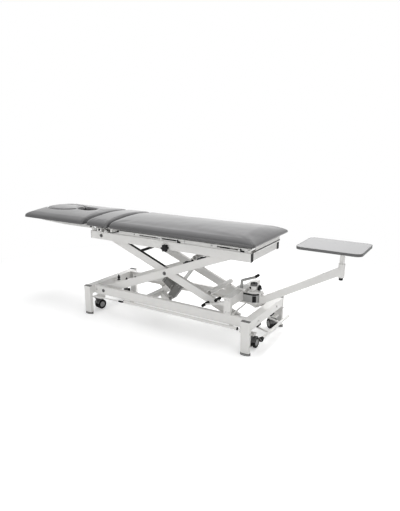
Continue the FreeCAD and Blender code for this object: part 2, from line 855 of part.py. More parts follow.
# A pad is drawn in where it meets its board, swells to its full outline and rolls over to a crowned top.
# Its ends roll less where two pads butt together.
def pad_layers():
    layers = [(0.0, pad_draw_in), (0.1, 0.0)]
    for turn in (22, 40, 55, 68, 79):
        level = 0.1 + 0.88 * math.sin(math.radians(turn))
        layers.append((level, pad_roll * (1 - math.cos(math.radians(turn)))))
    layers.append((1.0, pad_crown_inset))
    return layers


def pad(x, thickness, head_roll, foot_roll):
    base = pad_base + pad_clearance
    rise = thickness - pad_clearance
    wires = []
    for level, inset in pad_layers():
        span_x = (x[0] + inset * head_roll / pad_roll, x[1] - inset * foot_roll / pad_roll)
        span_y = (-pad_half_width + inset, pad_half_width - inset)
        wires.append(rounded_outline(span_x, span_y, base + level * rise, pad_corner))
    return Part.makeLoft(wires, True, True)


# The face hole flares at its lip
def face_cut(thickness):
    top = pad_base + thickness
    bottom = pad_base - 2 * board_thickness
    levels = ((bottom, 0.0), (top - face_lip, 0.0), (top - face_lip / 3, face_lip / 4), (top + 1, face_lip))
    wires = []
    for z, widening in levels:
        wires.append(slot_outline(face_centre_x, face_half_length + widening, face_half_width + widening, z))
    return Part.makeLoft(wires, True, True)


def oval(centre_x, half_length, half_width, z):
    curve = Part.Ellipse(Vector(centre_x, 0, z), half_length, half_width)
    return Part.Wire([curve.toShape()])


# The pocket reaches down to the board, flares at its lip and holds the lift-out plug
def plug_pocket(thickness):
    top = pad_base + thickness
    length = plug_half_length + plug_gap
    width = plug_half_width + plug_gap
    levels = ((pad_base, 0.0), (top - face_lip, 0.0), (top - face_lip / 3, face_lip / 4), (top + 1, face_lip))
    wires = []
    for z, widening in levels:
        wires.append(oval(plug_centre_x, length + widening, width + widening, z))
    return Part.makeLoft(wires, True, True)


def face_plug(cushion, thickness):
    top = pad_base + thickness
    levels = ((pad_base, 0.0), (top - face_lip, 0.0), (top - face_lip / 3, face_lip / 4), (top + 1, face_lip))
    wires = []
    for z, narrowing in levels:
        wires.append(oval(plug_centre_x, plug_half_length - narrowing, plug_half_width - narrowing, z))
    return cushion.common(Part.makeLoft(wires, True, True)).Solids[0]


def board(x):
    span = (x[0] + board_inset, x[1] - board_inset)
    corner = pad_corner - board_inset
    outline = rounded_outline(span, (-board_half_width, board_half_width), board_base, corner)
    return Part.Face(outline).extrude(Vector(0, 0, board_thickness))


# Head section
def head_arm():
    y = (-head_arm_half, -head_arm_half + head_arm_thickness)
    top = board_base - seat_gap
    outline = (
        (head_hinge_x, top),
        (head_arm_end, top),
        (head_arm_end, top - head_arm_tip_depth),
        (head_arm_bend, top - head_arm_depth),
        (head_hinge_x, top - head_arm_depth),
    )
    eye = crosswise(head_hinge_x, head_hinge_z, y, hinge_boss_radius)
    flat = plate(outline, y)
    clear_x = (head_hinge_x, head_hinge_x + 2 * hinge_boss_radius)
    clear = box(clear_x, y, (head_hinge_z + hinge_boss_radius, pad_base))
    bore = crosswise(head_hinge_x, head_hinge_z, y, pin_radius + running_fit)
    return one([flat, eye]).cut(bore).cut(clear)


def head_frame():
    inner = head_arm_half - head_arm_thickness
    top = board_base - seat_gap
    bars = []
    for x in head_bars:
        bar_x = (x - support_width / 2, x + support_width / 2)
        bars.append(box(bar_x, (-inner, inner), (top - head_bar_height, top)))
    return group(both_sides(head_arm()) + bars)


# Carriage of the main section
carriage_top = board_base
carriage_bottom = carriage_top - carriage_tube_height


def carriage_frame():
    inner = carriage_tube_half - carriage_tube_width
    z = (carriage_bottom, carriage_top)
    x = (carriage_start, carriage_end)
    side = box(x, (-carriage_tube_half, -inner), z)
    hollow_y = (-carriage_tube_half + tube_wall, -inner - tube_wall)
    side = side.cut(box(x, hollow_y, (z[0] + tube_wall, z[1] - tube_wall)))
    bars = []
    for place in carriage_bars:
        bar_x = (place - carriage_tube_width / 2, place + carriage_tube_width / 2)
        hollow_x = (bar_x[0] + tube_wall, bar_x[1] - tube_wall)
        bar = box(bar_x, (-inner, inner), z)
        bars.append(bar.cut(box(hollow_x, (-inner, inner), (z[0] + tube_wall, z[1] - tube_wall))))
    return group(both_sides(side) + bars)


def glide(place):
    web = slide_rail_half - slide_rail_wall
    middle = upper_top + slide_rail_height / 2
    glide_height = slide_rail_height - 2 * slide_rail_wall - 2 * glide_clearance
    y = (-web + glide_clearance, -slide_rail_half + slide_rail_depth)
    z = (middle - glide_height / 2, middle + glide_height / 2)
    block = box((place - glide_length / 2, place + glide_length / 2), y, z)
    bolt_z = z[1] - glide_bolt_radius - seat_gap
    start = Vector(place, y[1], bolt_z)
    bolt = Part.makeCylinder(glide_bolt_radius, -carriage_tube_half - y[1], start, across)
    return block.fuse(bolt)


# Traction arm
def clamp_block():
    y = (-clamp_half_width, clamp_half_width)
    west = portal_start - clamp_clearance
    east = portal_end + clamp_clearance
    roof = portal_top + clamp_clearance
    outline = (
        (west - clamp_wall, portal_top - clamp_lip),
        (west, portal_top - clamp_lip),
        (west, roof),
        (east, roof),
        (east, clamp_boss_bottom),
        (swivel_x, clamp_boss_bottom),
        (swivel_x, clamp_boss_top),
        (east + clamp_wall, clamp_boss_top),
        (east + clamp_wall, roof + clamp_wall),
        (west - clamp_wall, roof + clamp_wall),
    )
    nose_height = clamp_boss_top - clamp_boss_bottom
    nose = Part.makeCylinder(clamp_half_width, nose_height, Vector(swivel_x, 0, clamp_boss_bottom))
    rod_root = Vector(swivel_x - clamp_rod_inset, clamp_rod_radius - clamp_half_width, clamp_boss_bottom)
    elbow = rod_root - upward * clamp_rod_drop
    reach = Vector(clamp_rod_reach[0], clamp_rod_reach[1], clamp_rod_reach[2])
    fork = elbow + reach
    tine = reach / reach.Length * clamp_tine_length
    pieces = [plate(outline, y), nose, bar_between(elbow, fork, clamp_rod_radius)]
    pieces.append(bar_between(elbow, rod_root + upward * clamp_rod_drop, clamp_rod_radius))
    pieces.append(Part.makeSphere(clamp_rod_radius, elbow))
    pieces.append(Part.makeSphere(clamp_rod_radius, fork))
    for side in (-1, 1):
        tip = fork + tine + Vector(side * clamp_tine_spread, 0, 0)
        pieces.append(bar_between(fork, tip, clamp_tine_radius))
    body = one(pieces)
    bore_start = Vector(swivel_x, 0, clamp_boss_bottom)
    return body.cut(Part.makeCylinder(swivel_radius + swivel_clearance, nose_height, bore_start))


lever_base = portal_top + clamp_clearance + clamp_wall


def clamp_lever():
    foot_point = Vector(lever_x, lever_y, lever_base + seat_gap)
    hub = Part.makeCylinder(lever_hub_radius, lever_hub_height, foot_point)
    stem = Part.makeCylinder(lever_stem_radius, lever_stem_height, foot_point)
    start = foot_point + upward * lever_stem_height
    bend = start + Vector(lever_reach[0], lever_reach[1], lever_reach[2])
    end = bend + Vector(lever_tip_reach[0], lever_tip_reach[1], lever_tip_reach[2])
    rod = bar_between(start, bend, lever_rod_radius)
    grip = bar_between(bend, end, lever_grip_radius)
    grip = grip.makeFillet(lever_grip_radius / 3, [edge for edge in grip.Edges if edge.Closed])
    elbow = Part.makeSphere(lever_stem_radius, start)
    knuckle = Part.makeSphere(lever_rod_radius, bend)
    return one([hub, stem, elbow, rod, knuckle, grip])


def swivel_post():
    bottom = clamp_boss_bottom - clamp_clearance - swivel_plate
    post_shape = Part.makeCylinder(swivel_radius, swivel_top - bottom, Vector(swivel_x, 0, bottom))
    rim = [edge for edge in post_shape.Edges if edge.Closed and edge.CenterOfMass.z > swivel_top - 1]
    post_shape = post_shape.makeFillet(swivel_radius / 8, rim)
    collar_start = Vector(swivel_x, 0, swivel_collar_bottom)
    collar = Part.makeCylinder(swivel_collar_radius, swivel_collar_height, collar_start)
    middle = (swivel_collar_top + swivel_collar_bottom) / 2
    screw_start = Vector(swivel_x + swivel_radius, 0, middle)
    screw_end = Vector(swivel_x + swivel_collar_radius, 0, middle)
    screw_hole = bar_between(screw_start, screw_end, swivel_knob_stem + running_fit)
    return one([post_shape, collar]).cut(screw_hole)


def swivel_knob():
    middle = (swivel_collar_top + swivel_collar_bottom) / 2
    stem_start = Vector(swivel_x + swivel_radius + 1, 0, middle)
    grip_x = swivel_x + swivel_collar_radius + swivel_knob_stem
    lobe_radius = swivel_knob_radius / 3
    ring = swivel_knob_radius - lobe_radius
    pieces = [bar_between(stem_start, Vector(grip_x, 0, middle), swivel_knob_stem)]
    start = Vector(grip_x, 0, middle)
    pieces.append(Part.makeCylinder(ring * 0.72, swivel_knob_height, start, along))
    for index in range(3):
        turn = math.radians(90 + 120 * index)
        centre = start + Vector(0, ring * math.cos(turn), ring * math.sin(turn))
        pieces.append(Part.makeCylinder(lobe_radius, swivel_knob_height, centre, along))
    return one(pieces)


def traction_arm():
    low = clamp_boss_bottom - clamp_clearance - swivel_plate
    high = clamp_boss_top + clamp_clearance
    pieces = []
    for z in (low, high):
        disc = Part.makeCylinder(swivel_plate_radius, swivel_plate, Vector(swivel_x, 0, z))
        half = arm_tube_width / 2 + arm_tube_wall
        bridge = box((swivel_x, arm_root_x + arm_root_plate), (-half, half), (z, z + swivel_plate))
        hole = Part.makeCylinder(swivel_radius, swivel_plate, Vector(swivel_x, 0, z))
        pieces.append(disc.fuse(bridge).cut(hole))
    half = arm_tube_width / 2 + arm_tube_wall
    pieces.append(box((arm_root_x, arm_root_x + arm_root_plate), (-half, half), (low, high + swivel_plate)))
    run = tray_post_x - arm_root_x
    slope = math.atan2(arm_tip_z - arm_root_z, run)
    length = math.hypot(run, arm_tip_z - arm_root_z)
    half_height = arm_tube_height / 2
    outer_y = (-arm_tube_width / 2, arm_tube_width / 2)
    outer = box((-half_height, length), outer_y, (-half_height, half_height))
    inner_half = arm_tube_width / 2 - arm_tube_wall
    inner_z = (-half_height + arm_tube_wall, half_height - arm_tube_wall)
    tube = outer.cut(box((-half_height, length), (-inner_half, inner_half), inner_z))
    tube.rotate(Vector(0, 0, 0), across, -math.degrees(slope))
    tube.translate(Vector(arm_root_x, 0, arm_root_z))
    keep = box((arm_root_x + arm_root_plate, tray_post_x), (-half, half), (low - half_height, sleeve_top))
    well_start = Vector(tray_post_x, 0, sleeve_bottom)
    well = Part.makeCylinder(sleeve_radius, sleeve_top - sleeve_bottom, well_start)
    pieces.append(tube.common(keep).cut(well))
    bore_start = Vector(tray_post_x, 0, sleeve_bottom + sleeve_floor)
    bore_length = sleeve_top - sleeve_bottom - sleeve_floor
    bore = Part.makeCylinder(tray_post_radius + running_fit, bore_length, bore_start)
    screw = Part.makeCylinder(height_knob_stem + running_fit, sleeve_floor, well_start)
    pieces.append(well.cut(bore).cut(screw))
    return one(pieces)


def height_knob():
    low = sleeve_bottom - height_knob_stem - height_knob_height
    grip = Part.makeCylinder(height_knob_radius, height_knob_height, Vector(tray_post_x, 0, low))
    grip = grip.makeFillet(height_knob_radius / 4, [edge for edge in grip.Edges if edge.Closed])
    stem_length = sleeve_bottom + sleeve_floor - low - 1
    return grip.fuse(Part.makeCylinder(height_knob_stem, stem_length, Vector(tray_post_x, 0, low + 1)))


def tray_post():
    top = tray_base - pad_clearance
    column_start = Vector(tray_post_x, 0, tray_post_start)
    column = Part.makeCylinder(tray_post_radius, top - tray_post_start, column_start)
    flange_start = Vector(tray_post_x, 0, top - tray_flange_height)
    return one([column, Part.makeCylinder(tray_flange_radius, tray_flange_height, flange_start)])


def tray_solid(grow):
    x = (tray_start - grow, tray_end + grow)
    y = (-tray_half_width - grow, tray_half_width + grow)
    outline = rounded_outline(x, y, tray_base, tray_corner + grow)
    return Part.Face(outline).extrude(Vector(0, 0, tray_thickness))


# Castors: a hooded fork turns about its stem, and a pair of wheels turns in it
wheel_z = wheel_radius + wheel_floor_gap


def wheel(side):
    inner = side * wheel_gap / 2
    outer = side * (wheel_gap / 2 + wheel_width)
    rim = wheel_radius * 0.72
    bevel = wheel_width / 5
    profile = (
        (wheel_axle_radius, inner),
        (wheel_radius - bevel, inner),
        (wheel_radius, inner + side * bevel),
        (wheel_radius, outer - side * bevel),
        (wheel_radius - bevel, outer),
        (rim, outer),
        (rim - wheel_dish, outer - side * wheel_dish),
        (wheel_axle_radius, outer - side * wheel_dish),
    )
    points = [Vector(castor_trail + radius, y, wheel_z) for radius, y in profile]
    face = Part.Face(Part.makePolygon(points + points[:1]))
    return face.revolve(Vector(castor_trail, 0, wheel_z), across, 360)


def wheel_pair():
    reach = wheel_gap / 2 + wheel_width - wheel_dish / 2
    axle = crosswise(castor_trail, wheel_z, (-reach, reach), wheel_axle_radius)
    return one([wheel(-1), wheel(1), axle])


def fork():
    top = castor_plate_bottom - seat_gap
    disc = Part.makeCylinder(fork_plate_radius, fork_plate_height, Vector(0, 0, top - fork_plate_height))
    y = (-fork_web / 2, fork_web / 2)
    low = wheel_z - 2 * wheel_axle_radius
    outline = (
        (-fork_plate_radius * 0.7, top - fork_plate_height),
        (-fork_plate_radius * 0.4, wheel_z + wheel_radius * 0.4),
        (castor_trail - 2 * wheel_axle_radius, low),
        (castor_trail + 2 * wheel_axle_radius, low),
        (castor_trail + wheel_radius * 0.6, wheel_z + wheel_radius * 0.55),
        (fork_plate_radius, top - fork_plate_height),
    )
    web = plate(outline, y)
    reach = wheel_gap / 2 + wheel_width
    hood_y = (-reach, reach)
    hood = crosswise(castor_trail, wheel_z, hood_y, fork_hood_radius)
    hood = hood.cut(crosswise(castor_trail, wheel_z, hood_y, fork_hood_radius - fork_hood_wall))
    wide = 2 * fork_hood_radius
    sector = (
        (castor_trail, wheel_z),
        (castor_trail - wide, wheel_z + wide / 3),
        (castor_trail - wide / 2, wheel_z + wide),
        (castor_trail + wide / 3, wheel_z + wide),
    )
    hood = hood.common(plate(sector, hood_y))
    ceiling = box((castor_trail - wide, castor_trail + wide), hood_y, (0, top))
    stem = Part.makeCylinder(castor_stem_radius, castor_plate_height, Vector(0, 0, top))
    body = one([disc, web, hood.common(ceiling), stem])
    return body.cut(crosswise(castor_trail, wheel_z, y, wheel_axle_radius + running_fit))


def castor_place(shape, corner, turn):
    placed = shape.copy()
    placed.rotate(Vector(0, 0, 0), upward, turn)
    placed.translate(Vector(end_x(corner[0]), corner[1] * castor_y, 0))
    return placed


def castor_shaft(sx):
    shaft = shaft_place(sx)
    pieces = [crosswise(shaft, shaft_z, (-shaft_half_length, shaft_half_length), shaft_radius)]
    top = castor_plate_bottom + castor_plate_height
    half = castor_plate_width / 2
    for sy in (-1, 1):
        y = (sy * castor_y - half, sy * castor_y + half)
        x = sorted((shaft - sx * shaft_radius, end_x(sx) + sx * half))
        flat = box(x, y, (castor_plate_bottom, top))
        web_x = (shaft - shaft_radius, shaft + shaft_radius)
        web = box(web_x, y, (top, shaft_z))
        bearing_room = sorted((sy * (bearing_y - bearing_thickness), sy * 2 * bearing_y))
        web = web.cut(box(web_x, bearing_room, (top, shaft_z)))
        bore = Part.makeCylinder(castor_stem_radius + running_fit, castor_plate_height,
                                 Vector(end_x(sx), sy * castor_y, castor_plate_bottom))
        pieces.append(flat.fuse(web).cut(bore))
    return pieces


def head_castor_shaft():
    start = Vector(head_shaft_x, castor_lever_y, shaft_z)
    end = Vector(castor_lever_end, castor_lever_y, shaft_z + castor_lever_rise)
    return one(castor_shaft(-1) + [bar_between(start, end, castor_lever_radius)])


def foot_castor_shaft():
    pieces = castor_shaft(1)
    for sy in (-1, 1):
        y = (sy * pedal_arm_y - pedal_arm_thickness / 2, sy * pedal_arm_y + pedal_arm_thickness / 2)
        outline = (
            (foot_shaft_x - shaft_radius / 2, shaft_z + shaft_radius / 2),
            (foot_shaft_x - shaft_radius / 2, shaft_z - shaft_radius / 2),
            (pedal_bar_x, pedal_bar_z - pedal_bar_radius / 2),
            (pedal_bar_x, pedal_bar_z + pedal_bar_radius / 2),
        )
        pieces.append(plate(outline, y))
    pieces.append(crosswise(pedal_bar_x, pedal_bar_z, (-pedal_bar_half, pedal_bar_half), pedal_bar_radius))
    return one(pieces)


def foot_bar():
    start = Vector(foot_bar_start, -foot_bar_y, foot_bar_z)
    end = Vector(foot_bar_end, -foot_bar_y, foot_bar_z)
    pieces = [pipe_between(start, end, foot_bar_radius, foot_bar_wall)]
    z = (foot_bar_z - hanger_depth / 2, foot_bar_z + hanger_depth / 2)
    for place in foot_bar_hangers:
        x = (place - hanger_thickness / 2, place + hanger_thickness / 2)
        arm_y = (-foot_bar_y, -foot_bar_hinge_y)
        hinge = Vector(x[0], -foot_bar_hinge_y, foot_bar_z)
        eye = Part.makeCylinder(hanger_depth / 2, hanger_thickness, hinge, along)
        bore = Part.makeCylinder(hanger_pin_radius + running_fit, hanger_thickness, hinge, along)
        inside = bar_between(start, end, foot_bar_radius - foot_bar_wall)
        pieces.append(box(x, arm_y, z).cut(inside).fuse(eye).cut(bore))
    return one(pieces)


def release_pedal():
    middle = -(base_rail_half + base_rail_inner) / 2
    y = (middle - release_lever_thickness / 2, middle + release_lever_thickness / 2)
    pieces = [crosswise(release_x, release_z, y, release_hub_radius)]
    for reach_x, reach_z in release_grips:
        x = release_x + reach_x
        z = release_z + reach_z
        reach = Vector(reach_x, 0, reach_z)
        side = reach.cross(across) * (release_grip_radius * 0.6 / reach.Length)
        outline = ((release_x + side.x, release_z + side.z), (release_x - side.x, release_z - side.z),
                   (x - side.x, z - side.z), (x + side.x, z + side.z))
        pieces.append(plate(outline, y))
        grip_y = (-base_rail_half, -base_rail_half + release_grip_length)
        grip = crosswise(x, z, grip_y, release_grip_radius)
        pieces.append(grip.makeFillet(release_grip_radius / 3, [edge for edge in grip.Edges if edge.Closed]))
    return one(pieces).cut(crosswise(release_x, release_z, y, release_pin_radius + running_fit))


os.makedirs("parts", exist_ok=True)

save("base_rails", group(both_sides(base_rail())))
save("base_cross_members", group([end_cross_member(-1), end_cross_member(1)]))
save("base_posts", group([post(sx, sy) for sx, sy in corners]))
save("post_caps", group([post_cap(sx, sy) for sx, sy in corners]))
save("feet", group([foot(sx, sy) for sx, sy in corners]))
save("portal_uprights", group(both_sides(portal_upright())))
save("portal_beam", portal_beam())
save("actuator_seat", actuator_seat())
bearings = both_sides(shaft_bearing(-1)) + both_sides(shaft_bearing(1))
hinges = []
for hanger_x in foot_bar_hangers:
    hinges.extend(both_sides(hanger_hinge(hanger_x)))
save("base_brackets", group(bearings + hinges + [release_lugs()]))

save("outer_arms", group(both_sides(arm(outer_arm_face, -arm_angle))))
save("lift_tube", lift_tube())
base_pin = pivot_pin(arm_pivot_x, arm_low_z, outer_arm_face, base_web, base_rail_half)
upper_axle = roller_axle(arm_far_x, arm_high_z, outer_arm_face, upper_web)
save("outer_arm_pins", group(both_sides(base_pin) + both_sides(centre_pin()) + both_sides(upper_axle)))
save("upper_rollers", group(both_sides(roller(arm_far_x, arm_high_z, upper_web, upper_roller_radius))))

save("inner_arms", group(both_sides(arm(inner_arm_face, arm_angle))))
save("inner_cross_tube", arm_cross_tube(arm_half_length - inner_tube_from_end, inner_arm_face, arm_angle))
save("inner_tie_bar", tie_bar())
top_pin = pivot_pin(arm_pivot_x, arm_high_z, inner_arm_face, upper_web, upper_half)
lower_axle = roller_axle(arm_far_x, arm_low_z, inner_arm_face, base_web)
save("inner_arm_pins", group(both_sides(top_pin) + both_sides(lower_axle)))
save("lower_rollers", group(both_sides(roller(arm_far_x, arm_low_z, base_web, lower_roller_radius))))

save("actuator_housing", actuator_housing())
save("actuator_motor", actuator_motor())
save("actuator_tube", guide_tube())
save("actuator_rod", actuator_rod())

knob_hole_y = (-upper_half, -upper_web)
knob_hole = crosswise(star_knob_x, star_knob_z, knob_hole_y, star_knob_stem_radius + running_fit)
near_rail = upper_rail_with_pivot().cut(knob_hole)
save("upper_rails", group([near_rail, far_side(upper_rail_with_pivot())]))
save("frame_cross_members", frame_cross_members())
caps = both_sides(rail_cap(upper_start, -1)) + both_sides(rail_cap(upper_end, 1))
save("rail_caps", group(caps))
save("slide_rails", group(both_sides(slide_rail())))
save("head_hinge", head_hinge())
save("middle_board", middle_board())
middle_x = (middle_pad_start, middle_pad_end)
save("middle_pad", pad(middle_x, main_pad_thickness, pad_butt_roll, pad_butt_roll))
save("star_knob", star_knob())

save("carriage_frame", carriage_frame())
glides = []
for glide_x in glide_places:
    glides.extend(both_sides(glide(glide_x)))
save("carriage_glides", group(glides))
save("main_board", board((main_pad_start, main_pad_end)))
save("main_pad", pad((main_pad_start, main_pad_end), main_pad_thickness, pad_butt_roll, pad_roll))

opening = face_cut(head_pad_thickness)
save("head_frame", head_frame())
save("head_board", board((head_pad_start, head_pad_end)).cut(opening))
head_cushion = pad((head_pad_start, head_pad_end), head_pad_thickness, pad_roll, pad_butt_roll)
save("head_pad", head_cushion.cut(opening).cut(plug_pocket(head_pad_thickness)))
save("face_plug", face_plug(head_cushion.cut(opening), head_pad_thickness))

save("clamp_block", clamp_block())
save("clamp_lever", clamp_lever())
save("swivel_post", swivel_post())
save("swivel_knob", swivel_knob())
save("traction_arm", traction_arm())
save("height_knob", height_knob())
save("tray_post", tray_post())
save("tray", tray_solid(0))
save("tray_edging", tray_solid(tray_edging).cut(tray_solid(0)))

corner_names = ("head_near", "head_far", "foot_near", "foot_far")
for corner, corner_name, turn in zip(corners, corner_names, castor_turns):
    save("castor_fork_" + corner_name, castor_place(fork(), corner, turn))
    save("castor_wheels_" + corner_name, castor_place(wheel_pair(), corner, turn))
save("castor_shaft_head", head_castor_shaft())
save("castor_shaft_foot", foot_castor_shaft())
save("foot_bar_near", foot_bar())
save("foot_bar_far", far_side(foot_bar()))
save("release_pedal", release_pedal())

print("model shift", round(model_shift, 3))
print("arm high", round(arm_high_z, 3), "arm far", round(arm_far_x, 3))
print("actuator tip", round(actuator_tip_x, 3), round(actuator_tip_z, 3))
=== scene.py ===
import bmesh
import bpy
import math
from contextlib import contextmanager
from mathutils import Matrix, Vector, noise
from mathutils.bvhtree import BVHTree


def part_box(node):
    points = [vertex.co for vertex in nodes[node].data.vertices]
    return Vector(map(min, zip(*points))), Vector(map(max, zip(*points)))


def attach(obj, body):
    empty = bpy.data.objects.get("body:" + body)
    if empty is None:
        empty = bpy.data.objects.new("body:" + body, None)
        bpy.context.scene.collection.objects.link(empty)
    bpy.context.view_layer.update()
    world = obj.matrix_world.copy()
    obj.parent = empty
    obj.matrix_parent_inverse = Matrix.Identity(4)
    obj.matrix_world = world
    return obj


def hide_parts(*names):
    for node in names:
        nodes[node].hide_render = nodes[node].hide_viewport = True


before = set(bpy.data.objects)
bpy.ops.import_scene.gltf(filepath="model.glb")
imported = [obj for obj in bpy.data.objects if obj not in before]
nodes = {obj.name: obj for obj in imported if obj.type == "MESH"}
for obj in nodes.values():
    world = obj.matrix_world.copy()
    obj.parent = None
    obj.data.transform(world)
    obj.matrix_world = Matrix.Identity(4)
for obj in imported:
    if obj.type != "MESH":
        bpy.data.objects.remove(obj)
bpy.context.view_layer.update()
scene = bpy.context.scene
print("frame loaded", len(nodes))

# places below are in millimetres from the middle of the base, on the floor
modelShift = 18.0


def at(x, y, z):
    return Vector(((x + modelShift) / 1000, y / 1000, z / 1000))


# node helpers
def setInputs(tree, node, **values):  # a plain value, or a link from another node's socket
    for label, value in values.items():
        socket = node.inputs[label.replace("_", " ")]
        if hasattr(value, "is_linked"):
            tree.links.new(value, socket)
        else:
            socket.default_value = value


def addNode(tree, kind, **values):  # capitalised names are inputs, the rest are the node's own settings
    node = tree.nodes.new(kind)
    for key, value in values.items():
        if key[0].isupper():
            setInputs(tree, node, **{key: value})
        else:
            setattr(node, key, value)
    return node


def mathNode(tree, operation, first, second):
    node = addNode(tree, "ShaderNodeMath", operation=operation)
    for index, value in enumerate((first, second)):
        if hasattr(value, "is_linked"):
            tree.links.new(value, node.inputs[index])
        else:
            node.inputs[index].default_value = value
    return node.outputs[0]


# shader groups shared by the finishes
def newGroup(name, inputs, outputs):
    tree = bpy.data.node_groups.new(name, "ShaderNodeTree")
    for label, value in inputs.items():
        socket = tree.interface.new_socket(label, in_out="INPUT", socket_type="NodeSocketFloat")
        socket.default_value = value
    for label, kind in outputs.items():
        tree.interface.new_socket(label, in_out="OUTPUT", socket_type="NodeSocket" + kind)
    return tree, tree.nodes.new("NodeGroupInput"), tree.nodes.new("NodeGroupOutput")


def ownPlace(tree):  # the piece's own coordinates
    return addNode(tree, "ShaderNodeTexCoord").outputs["Object"]


def noiseNode(tree, scale, detail):
    node = addNode(tree, "ShaderNodeTexNoise", Vector=ownPlace(tree), Scale=scale, Detail=detail)
    return node.outputs["Fac"]


def makeGrain():  # fine bumps and a slow drift of tone
    tree, given, result = newGroup("surfaceGrain", {"Fine Scale": 900.0, "Broad Scale": 6.0, "Drift": 0.1},
                                   dict(Height="Float", Tone="Float"))
    fine = noiseNode(tree, given.outputs["Fine Scale"], 3.0)
    broad = noiseNode(tree, given.outputs["Broad Scale"], 4.0)
    drift = mathNode(tree, "MULTIPLY", mathNode(tree, "SUBTRACT", broad, 0.5), given.outputs["Drift"])
    setInputs(tree, result, Height=fine, Tone=mathNode(tree, "ADD", drift, 1.0))
    return tree


def makeHide():  # pebbled vinyl: small cells with soft valleys, and a mask of the valleys for painted shade
    tree, given, result = newGroup("vinylGrain", {"Cell Scale": 420.0}, dict(Height="Float", Valley="Float"))
    place = ownPlace(tree)
    warp = addNode(tree, "ShaderNodeTexNoise", Vector=place, Scale=90.0)
    mixed = addNode(tree, "ShaderNodeMix", data_type="VECTOR", Factor=0.006, A=place, B=warp.outputs["Color"])
    cells = addNode(tree, "ShaderNodeTexVoronoi", feature="SMOOTH_F1", Vector=mixed.outputs["Result"],
                    Scale=given.outputs["Cell Scale"], Smoothness=0.6)
    reach = cells.outputs["Distance"]
    setInputs(tree, result, Height=mathNode(tree, "SUBTRACT", 1.0, reach),
              Valley=mathNode(tree, "POWER", reach, 2.0))
    return tree


def makeWeave():  # plain weave of two crossing thread waves, its tone painted shade between the threads
    tree, given, result = newGroup("plainWeave", {"Thread Scale": 260.0}, dict(Height="Float", Tone="Float"))
    place = ownPlace(tree)
    waves = [addNode(tree, "ShaderNodeTexWave", bands_direction=direction, Vector=place, Distortion=0.6,
                     Scale=given.outputs["Thread Scale"]).outputs["Fac"] for direction in ("X", "Y")]
    height = mathNode(tree, "MULTIPLY", waves[0], waves[1])
    # painted shade: darker where the threads dip, lighter on their tops
    shade = mathNode(tree, "MULTIPLY", height, 0.5)
    setInputs(tree, result, Height=height, Tone=mathNode(tree, "ADD", shade, 0.7))
    return tree


def makeEdge():  # rounded light on sharp corners and a worn mask along them
    tree, given, result = newGroup("softEdge", {"Radius": 0.0015, "Speckle": 160.0},
                                   dict(Normal="Vector", Worn="Float"))
    rounded = addNode(tree, "ShaderNodeBevel", samples=4, Radius=given.outputs["Radius"]).outputs["Normal"]
    dot = addNode(tree, "ShaderNodeVectorMath", operation="DOT_PRODUCT")
    tree.links.new(rounded, dot.inputs[0])
    tree.links.new(addNode(tree, "ShaderNodeNewGeometry").outputs["Normal"], dot.inputs[1])
    turned = mathNode(tree, "SUBTRACT", 1.0, dot.outputs["Value"])
    broken = mathNode(tree, "MULTIPLY", turned, noiseNode(tree, given.outputs["Speckle"], 5.0))
    strong = mathNode(tree, "MULTIPLY", broken, 5.0)
    setInputs(tree, result, Normal=rounded, Worn=mathNode(tree, "MINIMUM", strong, 1.0))
    return tree


def makeDust():  # a thin film on what faces up, in patches
    tree, given, result = newGroup("settledDust", {"Amount": 0.15, "Patch Scale": 14.0}, dict(Mask="Float"))
    normal = addNode(tree, "ShaderNodeNewGeometry").outputs["Normal"]
    split = addNode(tree, "ShaderNodeSeparateXYZ", Vector=normal)
    up = mathNode(tree, "MAXIMUM", split.outputs["Z"], 0.0)
    spread = mathNode(tree, "MULTIPLY", up, noiseNode(tree, given.outputs["Patch Scale"], 6.0))
    setInputs(tree, result, Mask=mathNode(tree, "MULTIPLY", spread, given.outputs["Amount"]))
    return tree


grainGroup, hideGroup, weaveGroup = makeGrain(), makeHide(), makeWeave()
edgeGroup, dustGroup = makeEdge(), makeDust()
print("shader groups made")


# finishes
def tinted(tree, colour, tone):  # colour times a drifting tone
    grey = addNode(tree, "ShaderNodeCombineColor", Red=tone, Green=tone, Blue=tone)
    scaled = addNode(tree, "ShaderNodeMix", data_type="RGBA", blend_type="MULTIPLY", Factor=1.0,
                     A=(*colour, 1.0), B=grey.outputs["Color"])
    return scaled.outputs["Result"]


def blended(tree, mask, first, colour):
    mixed = addNode(tree, "ShaderNodeMix", data_type="RGBA", Factor=mask, A=first, B=(*colour, 1.0))
    return mixed.outputs["Result"]


def bumped(tree, height, strength, depth, **under):
    bump = addNode(tree, "ShaderNodeBump", Strength=strength, Distance=depth, Height=height, **under)
    return bump.outputs["Normal"]


def newFinish(name):
    material = bpy.data.materials.new(name)
    material.use_nodes = True
    return material, material.node_tree, material.node_tree.nodes["Principled BSDF"]


hardDefaults = dict(fine=1400.0, broad=5.0, drift=0.08, round=0.0015, wear=0.15, worn=(0.5, 0.5, 0.49),
                    dust=0.1, dustColour=(0.55, 0.54, 0.51), dustRough=0.4, bump=0.25, depth=0.0003,
                    metal=0.0, coat=0.0, coatRough=0.25, specular=0.5)


